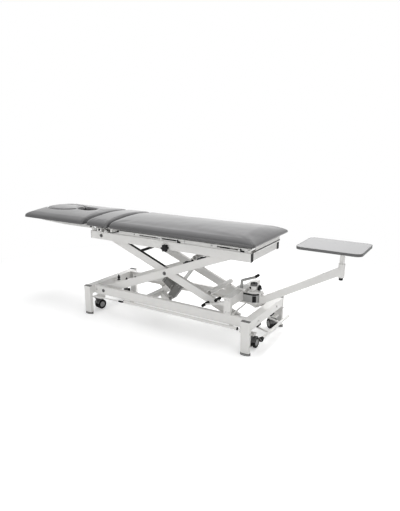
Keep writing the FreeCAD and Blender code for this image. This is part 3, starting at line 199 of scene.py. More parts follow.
def hardFinish(name, colour, rough, **changes):
    settings = {**hardDefaults, **changes}
    material, tree, shader = newFinish(name)
    grain = addNode(tree, "ShaderNodeGroup", node_tree=grainGroup, Fine_Scale=settings["fine"],
                    Broad_Scale=settings["broad"], Drift=settings["drift"])
    edge = addNode(tree, "ShaderNodeGroup", node_tree=edgeGroup, Radius=settings["round"])
    dust = addNode(tree, "ShaderNodeGroup", node_tree=dustGroup, Amount=settings["dust"])
    wear = mathNode(tree, "MULTIPLY", edge.outputs["Worn"], settings["wear"])
    shade = blended(tree, wear, tinted(tree, colour, grain.outputs["Tone"]), settings["worn"])
    shade = blended(tree, dust.outputs["Mask"], shade, settings["dustColour"])
    dulled = mathNode(tree, "MULTIPLY", dust.outputs["Mask"], settings["dustRough"])
    roughness = mathNode(tree, "ADD", mathNode(tree, "MULTIPLY", grain.outputs["Tone"], rough), dulled)
    normal = bumped(tree, grain.outputs["Height"], settings["bump"], settings["depth"],
                    Normal=edge.outputs["Normal"])
    setInputs(tree, shader, Base_Color=shade, Roughness=roughness, Normal=normal, Metallic=settings["metal"],
              Coat_Weight=settings["coat"], Coat_Roughness=settings["coatRough"],
              Specular_IOR_Level=settings["specular"])
    return material


def vinylFinish(name, settings):
    material, tree, shader = newFinish(name)
    grain = addNode(tree, "ShaderNodeGroup", node_tree=grainGroup, Fine_Scale=settings["fine"],
                    Broad_Scale=settings["broad"], Drift=settings["drift"])
    hide = addNode(tree, "ShaderNodeGroup", node_tree=hideGroup, Cell_Scale=settings["cells"])
    # painted shade: the colour darkens towards a deeper grey in the grain's valleys
    valley = mathNode(tree, "MULTIPLY", hide.outputs["Valley"], settings["valley"])
    shade = blended(tree, valley, tinted(tree, settings["colour"], grain.outputs["Tone"]), settings["valleyShadeColour"])
    fine = mathNode(tree, "MULTIPLY", grain.outputs["Height"], settings["fineShare"])
    height = mathNode(tree, "ADD", hide.outputs["Height"], fine)
    setInputs(tree, shader, Base_Color=shade,
              Roughness=mathNode(tree, "MULTIPLY", grain.outputs["Tone"], settings["rough"]),
              Normal=bumped(tree, height, settings["bump"], settings["depth"]),
              Coat_Weight=settings["coat"], Coat_Roughness=settings["coatRough"],
              Coat_IOR=settings["coatIor"], Specular_IOR_Level=settings["specular"])
    return material


def clothFinish(name, settings):
    material, tree, shader = newFinish(name)
    weave = addNode(tree, "ShaderNodeGroup", node_tree=weaveGroup, Thread_Scale=settings["threads"])
    setInputs(tree, shader, Base_Color=tinted(tree, settings["colour"], weave.outputs["Tone"]),
              Normal=bumped(tree, weave.outputs["Height"], settings["bump"], settings["depth"]),
              Roughness=settings["rough"])
    return material


coatWhite = hardFinish("coatWhite", (0.83, 0.822, 0.803), 0.4, fine=1100.0, bump=0.3, depth=0.0002,
                       wear=0.06, dust=0.04)
blackPlastic = hardFinish("blackPlastic", (0.006, 0.006, 0.007), 0.5, fine=2200.0, wear=0.25,
                          worn=(0.05, 0.05, 0.05), dust=0.02, specular=0.2)
motorGrey = hardFinish("motorGrey", (0.2, 0.199, 0.193), 0.5, fine=1800.0, wear=0.3, worn=(0.2, 0.2, 0.2),
                       dust=0.15)
softRubber = hardFinish("softRubber", (0.007, 0.007, 0.007), 0.65, fine=900.0, wear=0.2,
                        worn=(0.05, 0.05, 0.05), dust=0.03, specular=0.15)
capGrey = hardFinish("capGrey", (0.12, 0.12, 0.12), 0.5, fine=1800.0, wear=0.3, worn=(0.25, 0.25, 0.25),
                     dust=0.08)
hubGrey = hardFinish("hubGrey", (0.33, 0.33, 0.33), 0.45, fine=1600.0, wear=0.3, worn=(0.42, 0.42, 0.42))
footGrey = hardFinish("footGrey", (0.42, 0.42, 0.41), 0.55, fine=1300.0, wear=0.2, worn=(0.2, 0.2, 0.2))
# painted shade: a mid grey for the band round the clamp's nose, standing for the shade under the gasket's
# overhang
noseShadeGrey = hardFinish("noseShadeGrey", (0.46, 0.46, 0.455), 0.5, fine=1500.0, wear=0.2, worn=(0.42, 0.42, 0.42))
zincSteel = hardFinish("zincSteel", (0.58, 0.58, 0.57), 0.32, metal=1.0, fine=700.0, drift=0.2, wear=0.2,
                       worn=(0.75, 0.75, 0.74))
tubeMetal = hardFinish("tubeMetal", (0.62, 0.62, 0.61), 0.4, metal=0.7, drift=0.12)
trayGrey = hardFinish("trayGrey", (0.34, 0.34, 0.345), 0.5, fine=1900.0, bump=0.3, wear=0.1)
seamThread = hardFinish("seamThread", (0.3, 0.3, 0.305), 0.8, fine=3000.0, wear=0.0, dust=0.0)
# the deeper grey below is painted shade in the grain's valleys
greyVinyl = vinylFinish("greyVinyl", dict(
    colour=(0.064, 0.063, 0.065), valleyShadeColour=(0.038, 0.038, 0.04), fine=2600.0, broad=3.5, drift=0.1, cells=520.0,
    valley=0.5, fineShare=0.3, rough=0.38, bump=0.3, depth=0.0004, coat=1.0, coatRough=0.3, coatIor=1.4,
    specular=0.35))
underCloth = clothFinish("underCloth", dict(colour=(0.03, 0.03, 0.032), threads=240.0, bump=0.6, depth=0.0005,
                                            rough=0.9))

finishOf = {
    coatWhite: ("base_rails", "base_cross_members", "base_posts", "portal_uprights", "portal_beam",
                "actuator_seat", "base_brackets", "outer_arms", "lift_tube", "inner_arms", "inner_cross_tube",
                "upper_rails", "frame_cross_members", "slide_rails", "head_hinge", "carriage_frame",
                "head_frame", "clamp_block", "traction_arm", "castor_shaft_head", "castor_shaft_foot",
                "foot_bar_near", "foot_bar_far", "tray_post", "swivel_post", "release_pedal"),
    hubGrey: ("clamp_lever",),
    zincSteel: ("actuator_rod",),
    tubeMetal: ("actuator_tube",),
    motorGrey: ("actuator_housing", "actuator_motor"),
    blackPlastic: ("inner_tie_bar", "rail_caps", "star_knob", "swivel_knob", "height_knob", "carriage_glides",
                   "upper_rollers", "lower_rollers"),
    footGrey: ("feet",),
    capGrey: ("post_caps", "tray_edging", "outer_arm_pins", "inner_arm_pins", "castor_fork_head_near",
              "castor_fork_head_far", "castor_fork_foot_near", "castor_fork_foot_far"),
    softRubber: ("castor_wheels_head_near", "castor_wheels_head_far", "castor_wheels_foot_near",
                 "castor_wheels_foot_far"),
    trayGrey: ("tray",),
}
for finish, names in finishOf.items():
    for nodeName in names:
        for slot in nodes[nodeName].material_slots:
            slot.material = finish

print("finishes set")


# mesh helpers, whose places and sizes are in millimetres
def newObject(name, data):
    thing = bpy.data.objects.new(name, data)
    scene.collection.objects.link(thing)
    return thing


def addPiece(name, mesh, material, body):
    piece = newObject(name, mesh)
    mesh.materials.clear()
    mesh.materials.append(material)
    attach(piece, body)
    return piece


def smooth(mesh, angle=40):
    mesh.polygons.foreach_set("use_smooth", [True] * len(mesh.polygons))
    mesh.set_sharp_from_angle(angle=math.radians(angle))


def finishPiece(name, work, material, body):
    bmesh.ops.remove_doubles(work, verts=work.verts, dist=1e-6)
    bmesh.ops.recalc_face_normals(work, faces=work.faces)
    mesh = bpy.data.meshes.new(name)
    work.to_mesh(mesh)
    work.free()
    smooth(mesh)
    return addPiece(name, mesh, material, body)


@contextmanager
def newPiece(name, material, body):  # what is added in the with block becomes one piece
    work = bmesh.new()
    yield work
    finishPiece(name, work, material, body)


def turns(count):  # angles evenly round a circle
    return [2 * math.pi * k / count for k in range(count)]


def addBlock(work, low, high, bevel=0.0, turn=None):  # turn goes about the block's own middle
    low, high = at(*low), at(*high)
    middle, size = (low + high) / 2, high - low
    made = bmesh.ops.create_cube(work, size=1.0)["verts"]
    for vertex in made:
        place = Vector([vertex.co[k] * size[k] for k in range(3)])
        vertex.co = middle + (turn @ place if turn else place)
    if bevel:
        edges = list({edge for vertex in made for edge in vertex.link_edges})
        bmesh.ops.bevel(work, geom=edges, offset=bevel / 1000, segments=2, profile=0.6, affect="EDGES")


def addTurned(work, profile, origin, axis, steps=28):  # profile: (radius, along the axis), pole to pole
    place = Matrix.Translation(at(*origin)) @ Vector(axis).to_track_quat("Z", "Y").to_matrix().to_4x4()
    rings = []
    for radius, along in profile:
        ring = []
        for a in turns(steps if radius > 0.001 else 1):  # a pole is a single point
            spot = Vector((radius * math.cos(a), radius * math.sin(a), along)) / 1000
            ring.append(work.verts.new(place @ spot))
        rings.append(ring)
    for first, second in zip(rings, rings[1:]):
        for k in range(steps):
            corners = [first[k % len(first)], first[(k + 1) % len(first)],
                       second[(k + 1) % len(second)], second[k % len(second)]]
            corners = list(dict.fromkeys(corners))
            if len(corners) > 2:
                work.faces.new(corners)


def addTube(work, points, radius, sides=12, closed=False):  # a bent round bar along points
    spots = [at(*point) for point in points]
    rings = []
    side = None
    for k, spot in enumerate(spots):
        before = spots[k - 1] if k or closed else spots[k]
        after = spots[(k + 1) % len(spots)] if k + 1 < len(spots) or closed else spots[k]
        along = (after - before).normalized()
        guide = side if side else (Vector((0, 0, 1)) if abs(along.z) < 0.9 else Vector((1, 0, 0)))
        side = (guide - along * guide.dot(along)).normalized()
        other = along.cross(side)
        rings.append([work.verts.new(spot + (side * math.cos(a) + other * math.sin(a)) * radius / 1000)
                      for a in turns(sides)])
    pairs = list(zip(rings, rings[1:])) + ([(rings[-1], rings[0])] if closed else [])
    for first, second in pairs:
        for k in range(sides):
            work.faces.new((first[k], first[(k + 1) % sides], second[(k + 1) % sides], second[k]))
    if not closed:
        work.faces.new(rings[0])
        work.faces.new(rings[-1])


def bend(points, radius, steps=6):  # the same path with its inner corners rounded
    spots = [Vector(point) for point in points]
    result = [spots[0]]
    for before, corner, after in zip(spots, spots[1:], spots[2:]):
        first = corner + (before - corner).normalized() * radius
        last = corner + (after - corner).normalized() * radius
        for k in range(steps + 1):
            t = k / steps
            result.append(first * (1 - t) ** 2 + corner * 2 * t * (1 - t) + last * t * t)
    return [tuple(spot) for spot in result + [spots[-1]]]


# geometry node trees for what repeats
def newTree(name, **inputs):  # an input's kind follows from its value
    tree = bpy.data.node_groups.new(name, "GeometryNodeTree")
    tree.interface.new_socket("Geometry", in_out="INPUT", socket_type="NodeSocketGeometry")
    for label, value in inputs.items():
        kind = "NodeSocketInt" if isinstance(value, int) else "NodeSocketFloat"
        socket = tree.interface.new_socket(label.replace("_", " "), in_out="INPUT", socket_type=kind)
        socket.default_value = value
    tree.interface.new_socket("Material", in_out="INPUT", socket_type="NodeSocketMaterial")
    tree.interface.new_socket("Geometry", in_out="OUTPUT", socket_type="NodeSocketGeometry")
    return tree, addNode(tree, "NodeGroupInput").outputs


def facingOf(tree):
    node = addNode(tree, "GeometryNodeInputNamedAttribute", data_type="FLOAT_VECTOR", Name="facing")
    return node.outputs["Attribute"]


def aligned(tree, vector, **values):
    return addNode(tree, "FunctionNodeAlignRotationToVector", Vector=vector, **values).outputs["Rotation"]


def stepsAlong(tree, given):  # points at even steps along the path
    curve = addNode(tree, "GeometryNodeMeshToCurve", Mesh=given["Geometry"])
    node = addNode(tree, "GeometryNodeResampleCurve", mode="LENGTH", Curve=curve.outputs[0],
                   Length=given["Step"])
    return node.outputs[0]


def spreadOn(tree, given, points, part, rotation):  # the part on each point, made real and painted
    spread = addNode(tree, "GeometryNodeInstanceOnPoints", Points=points, Instance=part, Rotation=rotation)
    realize = addNode(tree, "GeometryNodeRealizeInstances", Geometry=spread.outputs[0])
    paint = addNode(tree, "GeometryNodeSetMaterial", Geometry=realize.outputs[0], Material=given["Material"])
    addNode(tree, "NodeGroupOutput", Geometry=paint.outputs[0])
    return tree


def lifted(tree, mesh, height):
    up = addNode(tree, "ShaderNodeCombineXYZ", Z=height)
    return addNode(tree, "GeometryNodeTransform", Geometry=mesh, Translation=up.outputs[0]).outputs[0]


# tree inputs are in metres
boltShape = dict(washerSides=20, washerDepth=0.003, domeSides=16, domeDepth=0.0012, domeFoot=0.84,
                 domeTop=0.5)


def makeBoltTree():  # washer, head and a slight dome on each point, standing along "facing"
    tree, given = newTree("boltHeads", Head_Radius=0.008, Head_Height=0.005, Washer_Radius=0.011, Sides=6)
    radius, height = given["Head Radius"], given["Head Height"]
    washer = addNode(tree, "GeometryNodeMeshCylinder", Vertices=boltShape["washerSides"],
                     Depth=boltShape["washerDepth"], Radius=given["Washer Radius"])
    head = addNode(tree, "GeometryNodeMeshCylinder", Vertices=given["Sides"], Radius=radius, Depth=height)
    dome = addNode(tree, "GeometryNodeMeshCone", Vertices=boltShape["domeSides"],
                   Depth=boltShape["domeDepth"],
                   Radius_Bottom=mathNode(tree, "MULTIPLY", radius, boltShape["domeFoot"]),
                   Radius_Top=mathNode(tree, "MULTIPLY", radius, boltShape["domeTop"]))
    joined = addNode(tree, "GeometryNodeJoinGeometry", Geometry=washer.outputs["Mesh"])
    half = mathNode(tree, "MULTIPLY", height, 0.5)
    setInputs(tree, joined, Geometry=lifted(tree, head.outputs["Mesh"], half))
    setInputs(tree, joined, Geometry=lifted(tree, dome.outputs["Mesh"], height))
    points = addNode(tree, "GeometryNodeMeshToPoints", Mesh=given["Geometry"])
    upright = aligned(tree, facingOf(tree), axis="Z")
    return spreadOn(tree, given, points.outputs[0], joined.outputs[0], upright)


def makeRowTree():  # small beads laid end to end along a path, flat on what "facing" points away from
    tree, given = newTree("seamRow", Step=0.006, Length=0.004, Width=0.0012, Height=0.001)
    ball = addNode(tree, "GeometryNodeMeshIcoSphere", Radius=0.5, Subdivisions=2)  # its scale is its size
    size = addNode(tree, "ShaderNodeCombineXYZ", X=given["Length"], Y=given["Width"], Z=given["Height"])
    bead = addNode(tree, "GeometryNodeTransform", Geometry=ball.outputs["Mesh"], Scale=size.outputs[0])
    along = aligned(tree, addNode(tree, "GeometryNodeInputTangent").outputs[0], axis="X")
    upright = aligned(tree, facingOf(tree), axis="Z", pivot_axis="X", Rotation=along)
    return spreadOn(tree, given, stepsAlong(tree, given), bead.outputs[0], upright)


def makeRibTree():  # rounded rings threaded on a path
    tree, given = newTree("ribRings", Step=0.006, Ring_Radius=0.01, Ring_Thickness=0.0014)
    circle = addNode(tree, "GeometryNodeCurvePrimitiveCircle", Resolution=24, Radius=given["Ring Radius"])
    section = addNode(tree, "GeometryNodeCurvePrimitiveCircle", Resolution=6, Radius=given["Ring Thickness"])
    ring = addNode(tree, "GeometryNodeCurveToMesh", Curve=circle.outputs["Curve"],
                   Profile_Curve=section.outputs["Curve"])
    across = aligned(tree, addNode(tree, "GeometryNodeInputTangent").outputs[0], axis="Z")
    return spreadOn(tree, given, stepsAlong(tree, given), ring.outputs[0], across)


boltTree, rowTree, ribTree = makeBoltTree(), makeRowTree(), makeRibTree()


def runTree(name, tree, paths, material, body, **values):  # paths: lists of (place in metres, facing)
    mesh = bpy.data.meshes.new(name)
    spots, edges, facings = [], [], []
    for path in paths:
        for k, (spot, facing) in enumerate(path):
            if k:
                edges.append((len(spots) - 1, len(spots)))
            spots.append(spot)
            facings.extend(facing)
    mesh.from_pydata(spots, edges, [])
    mesh.attributes.new("facing", "FLOAT_VECTOR", "POINT").data.foreach_set("vector", facings)
    holder = newObject(name + "Points", mesh)
    modifier = holder.modifiers.new("grow", "NODES")
    modifier.node_group = tree
    sockets = {item.name: item.identifier for item in tree.interface.items_tree if item.in_out == "INPUT"}
    for label, value in values.items():
        modifier[sockets[label.replace("_", " ")]] = value
    modifier[sockets["Material"]] = material
    depsgraph = bpy.context.evaluated_depsgraph_get()
    grown = bpy.data.meshes.new_from_object(holder.evaluated_get(depsgraph))
    grown.name = name
    bpy.data.objects.remove(holder)
    smooth(grown, angle=35)
    return addPiece(name, grown, material, body)


def pointsOn(spots):  # single bolts: (x, y, z, facing)
    return [[(at(x, y, z), facing)] for x, y, z, facing in spots]


def lineOn(points, facing):
    return [(at(*point), facing) for point in points]


# pads, in metres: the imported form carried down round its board, remeshed, blown up a little and settled
padSettings = {
    "main_pad": dict(name="mainPad", body="carriage", boards=("main_board",), spread="main_pad",
                     drop=0.012, voxel=0.009, cap=0.0028, wave=0.0014, crown=0.005,
                     endReach=0.115, toHead=0.0, toFoot=0.009),
    "middle_pad": dict(name="middlePad", body="upper_frame", boards=(), spread="middle_pad",
                       drop=0.012, voxel=0.006, cap=0.0026, wave=0.001, crown=0.004,
                       endReach=0.0, toHead=0.012, toFoot=0.0),
    "head_pad": dict(name="headPad", body="head_section", boards=("head_board",), spread="head_pad",
                     drop=0.012, voxel=0.0065, cap=0.0026, wave=0.0012, crown=0.004,
                     endReach=0.0, toHead=0.0, toFoot=0.006),
    "face_plug": dict(name="facePlug", body="face_plug", boards=(), spread="head_pad",
                      drop=0.0, voxel=0.005, cap=0.0022, wave=0.0008, crown=0.005,
                      endReach=0.0, toHead=0.0, toFoot=0.0),
}
padCommon = dict(shrink=0.002, shrinkFrom=0.004, heldBelow=0.006, rim=0.56, ease=0.08,
                 waveScales=(5.5, 16.0), quickShare=0.5, wavesFrom=0.2)
clothRun = dict(pressure=4.0, stretch=25.0, bending=1.5, frames=20)


def startForm(nodeName, settings):
    work = bmesh.new()
    work.from_mesh(nodes[nodeName].data)
    if settings["drop"]:  # the cover reaches down round the board
        lowered = nodes[nodeName].data.copy()
        lowered.transform(Matrix.Translation((0.0, 0.0, -settings["drop"])))
        work.from_mesh(lowered)
    for board in settings["boards"]:
        work.from_mesh(nodes[board].data)
    bmesh.ops.remove_doubles(work, verts=work.verts, dist=1e-5)
    mesh = bpy.data.meshes.new(settings["name"])
    work.to_mesh(mesh)
    work.free()
    return mesh


def applied(thing):
    mesh = bpy.data.meshes.new_from_object(thing.evaluated_get(bpy.context.evaluated_depsgraph_get()))
    thing.modifiers.clear()
    return mesh


def swell(pad, start, floorLevel, cap):
    cloth = pad.modifiers.new("swell", "CLOTH")
    cloth.settings.use_pressure = True
    cloth.settings.uniform_pressure_force = clothRun["pressure"]
    cloth.settings.vertex_group_mass = "held"
    cloth.settings.tension_stiffness = clothRun["stretch"]
    cloth.settings.compression_stiffness = clothRun["stretch"]
    cloth.settings.bending_stiffness = clothRun["bending"]
    cloth.settings.effector_weights.gravity = 0.0
    cloth.collision_settings.use_collision = False
    for step in range(clothRun["frames"]):
        scene.frame_set(step + 1)
    swollen = applied(pad)
    for vertex, first in zip(swollen.vertices, start):
        move = vertex.co - first
        far = move.length / cap
        if far > 1e-6:
            vertex.co = first + move * ((1 - math.exp(-far)) / far)  # nears the cap and never passes it
        vertex.co.z = max(vertex.co.z, floorLevel)
    scene.frame_set(1)
    return swollen


def risen(share, rim):  # from the rim's share of the height up to all of it
    return rim + (1 - rim) * math.sin(math.pi / 2 * min(1.0, max(0.0, share)))


def eased(share):
    share = min(1.0, max(0.0, share))
    return share * share * (3 - 2 * share)


def crownPad(mesh, settings):  # thin at the rim, full in the middle, and foam that is never quite even
    low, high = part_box(settings["spread"])
    half = (high[1] - low[1]) / 2
    rim, ease = padCommon["rim"], padCommon["ease"]
    slow, quick = padCommon["waveScales"]
    normals = [vertex.normal.copy() for vertex in mesh.vertices]
    for vertex, normal in zip(mesh.vertices, normals):
        above = vertex.co.z - low[2]
        if above > 0:
            arch = risen(1 - abs(vertex.co.y - low[1] - half) / half, rim)
            if settings["endReach"]:
                arch *= risen((high[0] - vertex.co.x) / settings["endReach"], rim)
            vertex.co.z = low[2] + above * arch
        vertex.co.x -= settings["toHead"] * eased(1 - (vertex.co.x - low[0]) / ease)
        vertex.co.x += settings["toFoot"] * eased(1 - (high[0] - vertex.co.x) / ease)
        across = (2 * vertex.co.y - low[1] - high[1]) / (high[1] - low[1])
        along = (2 * vertex.co.x - low[0] - high[0]) / (high[0] - low[0])
        share = max(0.0, (vertex.co.z - low[2]) / (high[2] - low[2]))
        full = max(0.0, 1 - across ** 2) * max(0.0, 1 - along ** 6)
        vertex.co.z += settings["crown"] * full * min(1.0, share) ** 2
        if normal.z > padCommon["wavesFrom"]:
            rise = noise.noise(vertex.co * slow) + padCommon["quickShare"] * noise.noise(vertex.co * quick)
            vertex.co.z += settings["wave"] * rise * normal.z


def makePad(nodeName, settings):
    pad = newObject(settings["name"], startForm(nodeName, settings))
    remesh = pad.modifiers.new("even", "REMESH")
    remesh.mode = "VOXEL"
    remesh.voxel_size = settings["voxel"]
    pad.data = applied(pad)
    low = min(vertex.co.z for vertex in pad.data.vertices)
    normals = [vertex.normal.copy() for vertex in pad.data.vertices]
    start = []
    for vertex, normal in zip(pad.data.vertices, normals):
        if vertex.co.z > low + padCommon["shrinkFrom"]:
            vertex.co -= normal * padCommon["shrink"]
        start.append(vertex.co.copy())
    held = pad.vertex_groups.new(name="held")
    bottom = [vertex.index for vertex in pad.data.vertices if vertex.co.z < low + padCommon["heldBelow"]]
    held.add(bottom, 1.0, "REPLACE")
    pad.data = swell(pad, start, low, settings["cap"])
    finer = pad.modifiers.new("finer", "SUBSURF")
    finer.levels = finer.render_levels = 1
    done = applied(pad)
    pad.vertex_groups.clear()
    pad.data = done
    crownPad(done, settings)
    done.materials.clear()
    done.materials.append(greyVinyl)
    smooth(done, angle=180)
    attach(pad, settings["body"])
    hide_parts(nodeName, *settings["boards"])
    print("pad", settings["name"], len(done.polygons))
    return pad


pads = {nodeName: makePad(nodeName, settings) for nodeName, settings in padSettings.items()}

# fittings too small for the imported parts, each on the body it is fixed to
sides = (("Near", -1), ("Far", 1))


def camel(label):
    return label.title().replace("_", "")


middleRests = dict(cut=0.7019)  # metres


def makeRests():  # the lower part of the middle board, below the pad that wraps its panel
    work = bmesh.new()
    work.from_mesh(nodes["middle_board"].data)
    bmesh.ops.remove_doubles(work, verts=work.verts, dist=1e-5)
    cut = bmesh.ops.bisect_plane(work, geom=work.verts[:] + work.edges[:] + work.faces[:],
                                 plane_co=(0, 0, middleRests["cut"]), plane_no=(0, 0, 1), clear_outer=True)
    edges = [item for item in cut["geom_cut"] if isinstance(item, bmesh.types.BMEdge)]
    bmesh.ops.contextual_create(work, geom=edges)
    rests = finishPiece("middleRests", work, coatWhite, "upper_frame")
    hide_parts("middle_board")


endSkirt = dict(x=(690.0, 693.5), y=188.0, z=(654.0, 701.4), lip=54.0, lipThick=3.5, overlap=1.0, bevel=1.0,
                strip=(663.0, 669.5), back=0.6, proud=1.3, over=1.5, stripBevel=0.8)


def makeSkirt():  # folded plate under the foot end of the main pad, with a black strip on it that is painted shadow under the pad
    x, y, z = endSkirt["x"], endSkirt["y"], endSkirt["z"]
    with newPiece("endSkirt", coatWhite, "carriage") as work:
        addBlock(work, (x[0], -y, z[0]), (x[1], y, z[1]), endSkirt["bevel"])
        addBlock(work, (x[0] - endSkirt["lip"], -y, z[1] - endSkirt["lipThick"]),
                 (x[0] + endSkirt["overlap"], y, z[1]), endSkirt["bevel"])
    low, high = endSkirt["strip"]
    wide = y + endSkirt["over"]
    # painted shadow: a black strip for the dark shadow line below the pad's foot end
    with newPiece("skirtShadowStrip", blackPlastic, "carriage") as work:
        addBlock(work, (x[0] - endSkirt["back"], -wide, low), (x[1] + endSkirt["proud"], wide, high),
                 endSkirt["stripBevel"])


clothPanels = {
    "mainPad": ("carriage", (-428.0, 706.0), (-270.0, 270.0), None),
    "middlePad": ("upper_frame", (-638.0, -458.0), (-270.0, 270.0), None),
    "headPad": ("head_section", (-1336.0, -712.0), (-268.0, 268.0), ((-1002.0, -814.0), (-62.0, 62.0))),
}
clothSettings = dict(level=702.4, thick=0.9, inset=7.0, stapleLevel=701.3,
                     staple=dict(Step=0.045, Length=0.011, Width=0.0014, Height=0.0012))


def makeUndersides():  # dark cloth stapled over the bottom of each pad
    for label, (body, across, wide, hole) in clothPanels.items():
        xs = [across[0], *(hole[0] if hole else ()), across[1]]
        ys = [wide[0], *(hole[1] if hole else ()), wide[1]]
        with newPiece(label + "Cloth", underCloth, body) as work:
            for i in range(len(xs) - 1):
                for j in range(len(ys) - 1):
                    if hole and i == 1 and j == 1:
                        continue
                    corners = [(xs[i], ys[j]), (xs[i + 1], ys[j]), (xs[i + 1], ys[j + 1]), (xs[i], ys[j + 1])]
                    work.faces.new([work.verts.new(at(x, y, clothSettings["level"])) for x, y in corners])
            bmesh.ops.remove_doubles(work, verts=work.verts, dist=1e-5)
            grown = bmesh.ops.extrude_face_region(work, geom=work.faces[:])
            moved = [item for item in grown["geom"] if isinstance(item, bmesh.types.BMVert)]
            bmesh.ops.translate(work, verts=moved, vec=(0.0, 0.0, -clothSettings["thick"] / 1000))
        inset, level = clothSettings["inset"], clothSettings["stapleLevel"]
        x0, x1, y0, y1 = across[0] + inset, across[1] - inset, wide[0] + inset, wide[1] - inset
        border = [(x, y, level) for x, y in ((x0, y0), (x1, y0), (x1, y1), (x0, y1), (x0, y0))]
        runTree(label + "Staples", rowTree, [lineOn(border, (0.0, 0.0, -1.0))], zincSteel, body,
                **clothSettings["staple"])


padCorners = {  # name, body, and both ends along the table
    "main_pad": ("mainSeams", "carriage", (-440, 718)),
    "middle_pad": ("middleSeams", "upper_frame", (-648, -448)),
    "head_pad": ("headSeams", "head_section", (-1350, -658)),
}
seamSettings = dict(aside=283, low=706.0, step=2.35, count=22,
                    away=0.15, reach=0.055, ray=0.6, lift=0.0004,  # metres
                    thread=dict(Step=0.0065, Length=0.0048, Width=0.0013, Height=0.0011))


def makeSeams():  # a row of stitches down each corner, found by rays from outside
    away = seamSettings["away"]
    for nodeName, (label, body, ends) in padCorners.items():
        mesh = pads[nodeName].data
        surface = BVHTree.FromPolygons([v.co for v in mesh.vertices], [p.vertices[:] for p in mesh.polygons])
        paths = []
        for x, y in [(x, sign * seamSettings["aside"]) for x in ends for sign in (-1, 1)]:
            outward = Vector((math.copysign(1, x - sum(ends) / 2), math.copysign(1, y), 0)).normalized()
            path = []
            for k in range(seamSettings["count"]):
                start = at(x, y, seamSettings["low"] + seamSettings["step"] * k) + outward * away
                spot, normal, _, _ = surface.ray_cast(start, -outward, seamSettings["ray"])
                if spot is not None and (spot - start).length < away + seamSettings["reach"]:
                    path.append((spot + normal * seamSettings["lift"], tuple(normal)))
            paths.append(path)
        runTree(label, rowTree, paths, seamThread, body, **seamSettings["thread"])


liftArms = dict(rise=432.0, run=1102.4, outer=(-562.0, 192.5), inner=(-562.0, 624.5), top=28.1)
armAngle = math.atan2(liftArms["rise"], liftArms["run"])


def onArm(start, rise, reach, off):  # a place along a lifting arm, off its middle line
    along = (math.cos(armAngle), rise * math.sin(armAngle))
    return start[0] + along[0] * reach - along[1] * off, start[1] + along[1] * reach + along[0] * off


def addArmBlock(work, start, rise, reach, off, across, bevel):
    x, z = onArm(start, rise, sum(reach) / 2, sum(off) / 2)
    middle = (x, sum(across) / 2, z)
    half = [(pair[1] - pair[0]) / 2 for pair in (reach, across, off)]
    low = [m - h for m, h in zip(middle, half)]
    high = [m + h for m, h in zip(middle, half)]
    addBlock(work, low, high, bevel, Matrix.Rotation(-rise * armAngle, 3, "Y"))


armTrim = dict(strip=(205.0, 560.0), stripThick=3.0, stripAcross=(-156.0, -133.0), stripBevel=0.8,
               clips=((775.0, 822.0), (838.0, 868.0), (896.0, 960.0)), clipThick=8.0,
               clipAcross=(-184.0, -161.0), clipBevel=1.6, tabHalf=8, tabRise=(34.0, 41.0),
               tabAcross=(-179.0, -166.0), tabBevel=1.4)


def makeArmTrim():  # a black strip on the near inner arm's top that is painted shade, and clips on the near outer arm
    top = liftArms["top"]
    # painted shade: the black strip stands for the dark line of shade along the arm's top
    with newPiece("armShadeStrip", blackPlastic, "inner_arms") as work:
        addArmBlock(work, liftArms["inner"], -1, armTrim["strip"], (top, top + armTrim["stripThick"]),
                    armTrim["stripAcross"], armTrim["stripBevel"])
    with newPiece("armClips", blackPlastic, "outer_arms") as work:
        for clip in armTrim["clips"]:
            addArmBlock(work, liftArms["outer"], 1, clip, (top, top + armTrim["clipThick"]),
                        armTrim["clipAcross"], armTrim["clipBevel"])
            middle = sum(clip) / 2
            tab = (middle - armTrim["tabHalf"], middle + armTrim["tabHalf"])
            addArmBlock(work, liftArms["outer"], 1, tab, armTrim["tabRise"], armTrim["tabAcross"],
                        armTrim["tabBevel"])


railTrim = dict(
    windows=((-202.0, -15.0, 2.2), (-5.0, 116.0, 4.8), (430.0, 584.0, 1.8)), level=666.5,
    linerAcross=(212.4, 210.8), linerInset=0.4, linerBevel=0.3,
    hooks=((124.0, 149.0), (598.0, 626.0)), hookAcross=(219.0, 213.1), hookLevels=(655.0, 664.0, 674.0),
    hookTongue=8.0, hookBevel=1.5,
    disc=[(0, -0.2), (11, -0.2), (11, 3.0), (9.5, 4.2), (5, 4.4), (4.4, 3.2), (0, 3.2)],
    discPlace=(-676.0, 204.0, 684.0),
    rests=((-536.0, -500.0, 653.1, 664.0, 0), (-528.0, -508.0, 663.0, 670.0, 5),
           (-604.0, -558.0, 653.1, 682.0, 0)),  # start, end, low, high, drawn in
    restAcross=(218.5, 196.0), restBevel=2.0,
    stud=[(0, -0.5), (8.6, -0.5), (8.6, 2.4), (7.0, 3.6), (0, 4.0)], studPlace=(-580.0, 218.5, 668.0),
    latch=((-470.0, -217.8, 656.0), (-452.0, -217.8, 657.0), (-400.0, -217.8, 672.0)), latchBend=8.0,
    latchRadius=3.4, latchKnob=[(0, -8), (5, -8), (6.2, -6), (6.2, 6), (5, 8), (0, 8)],
    knobAxis=(0.96, 0, 0.28))


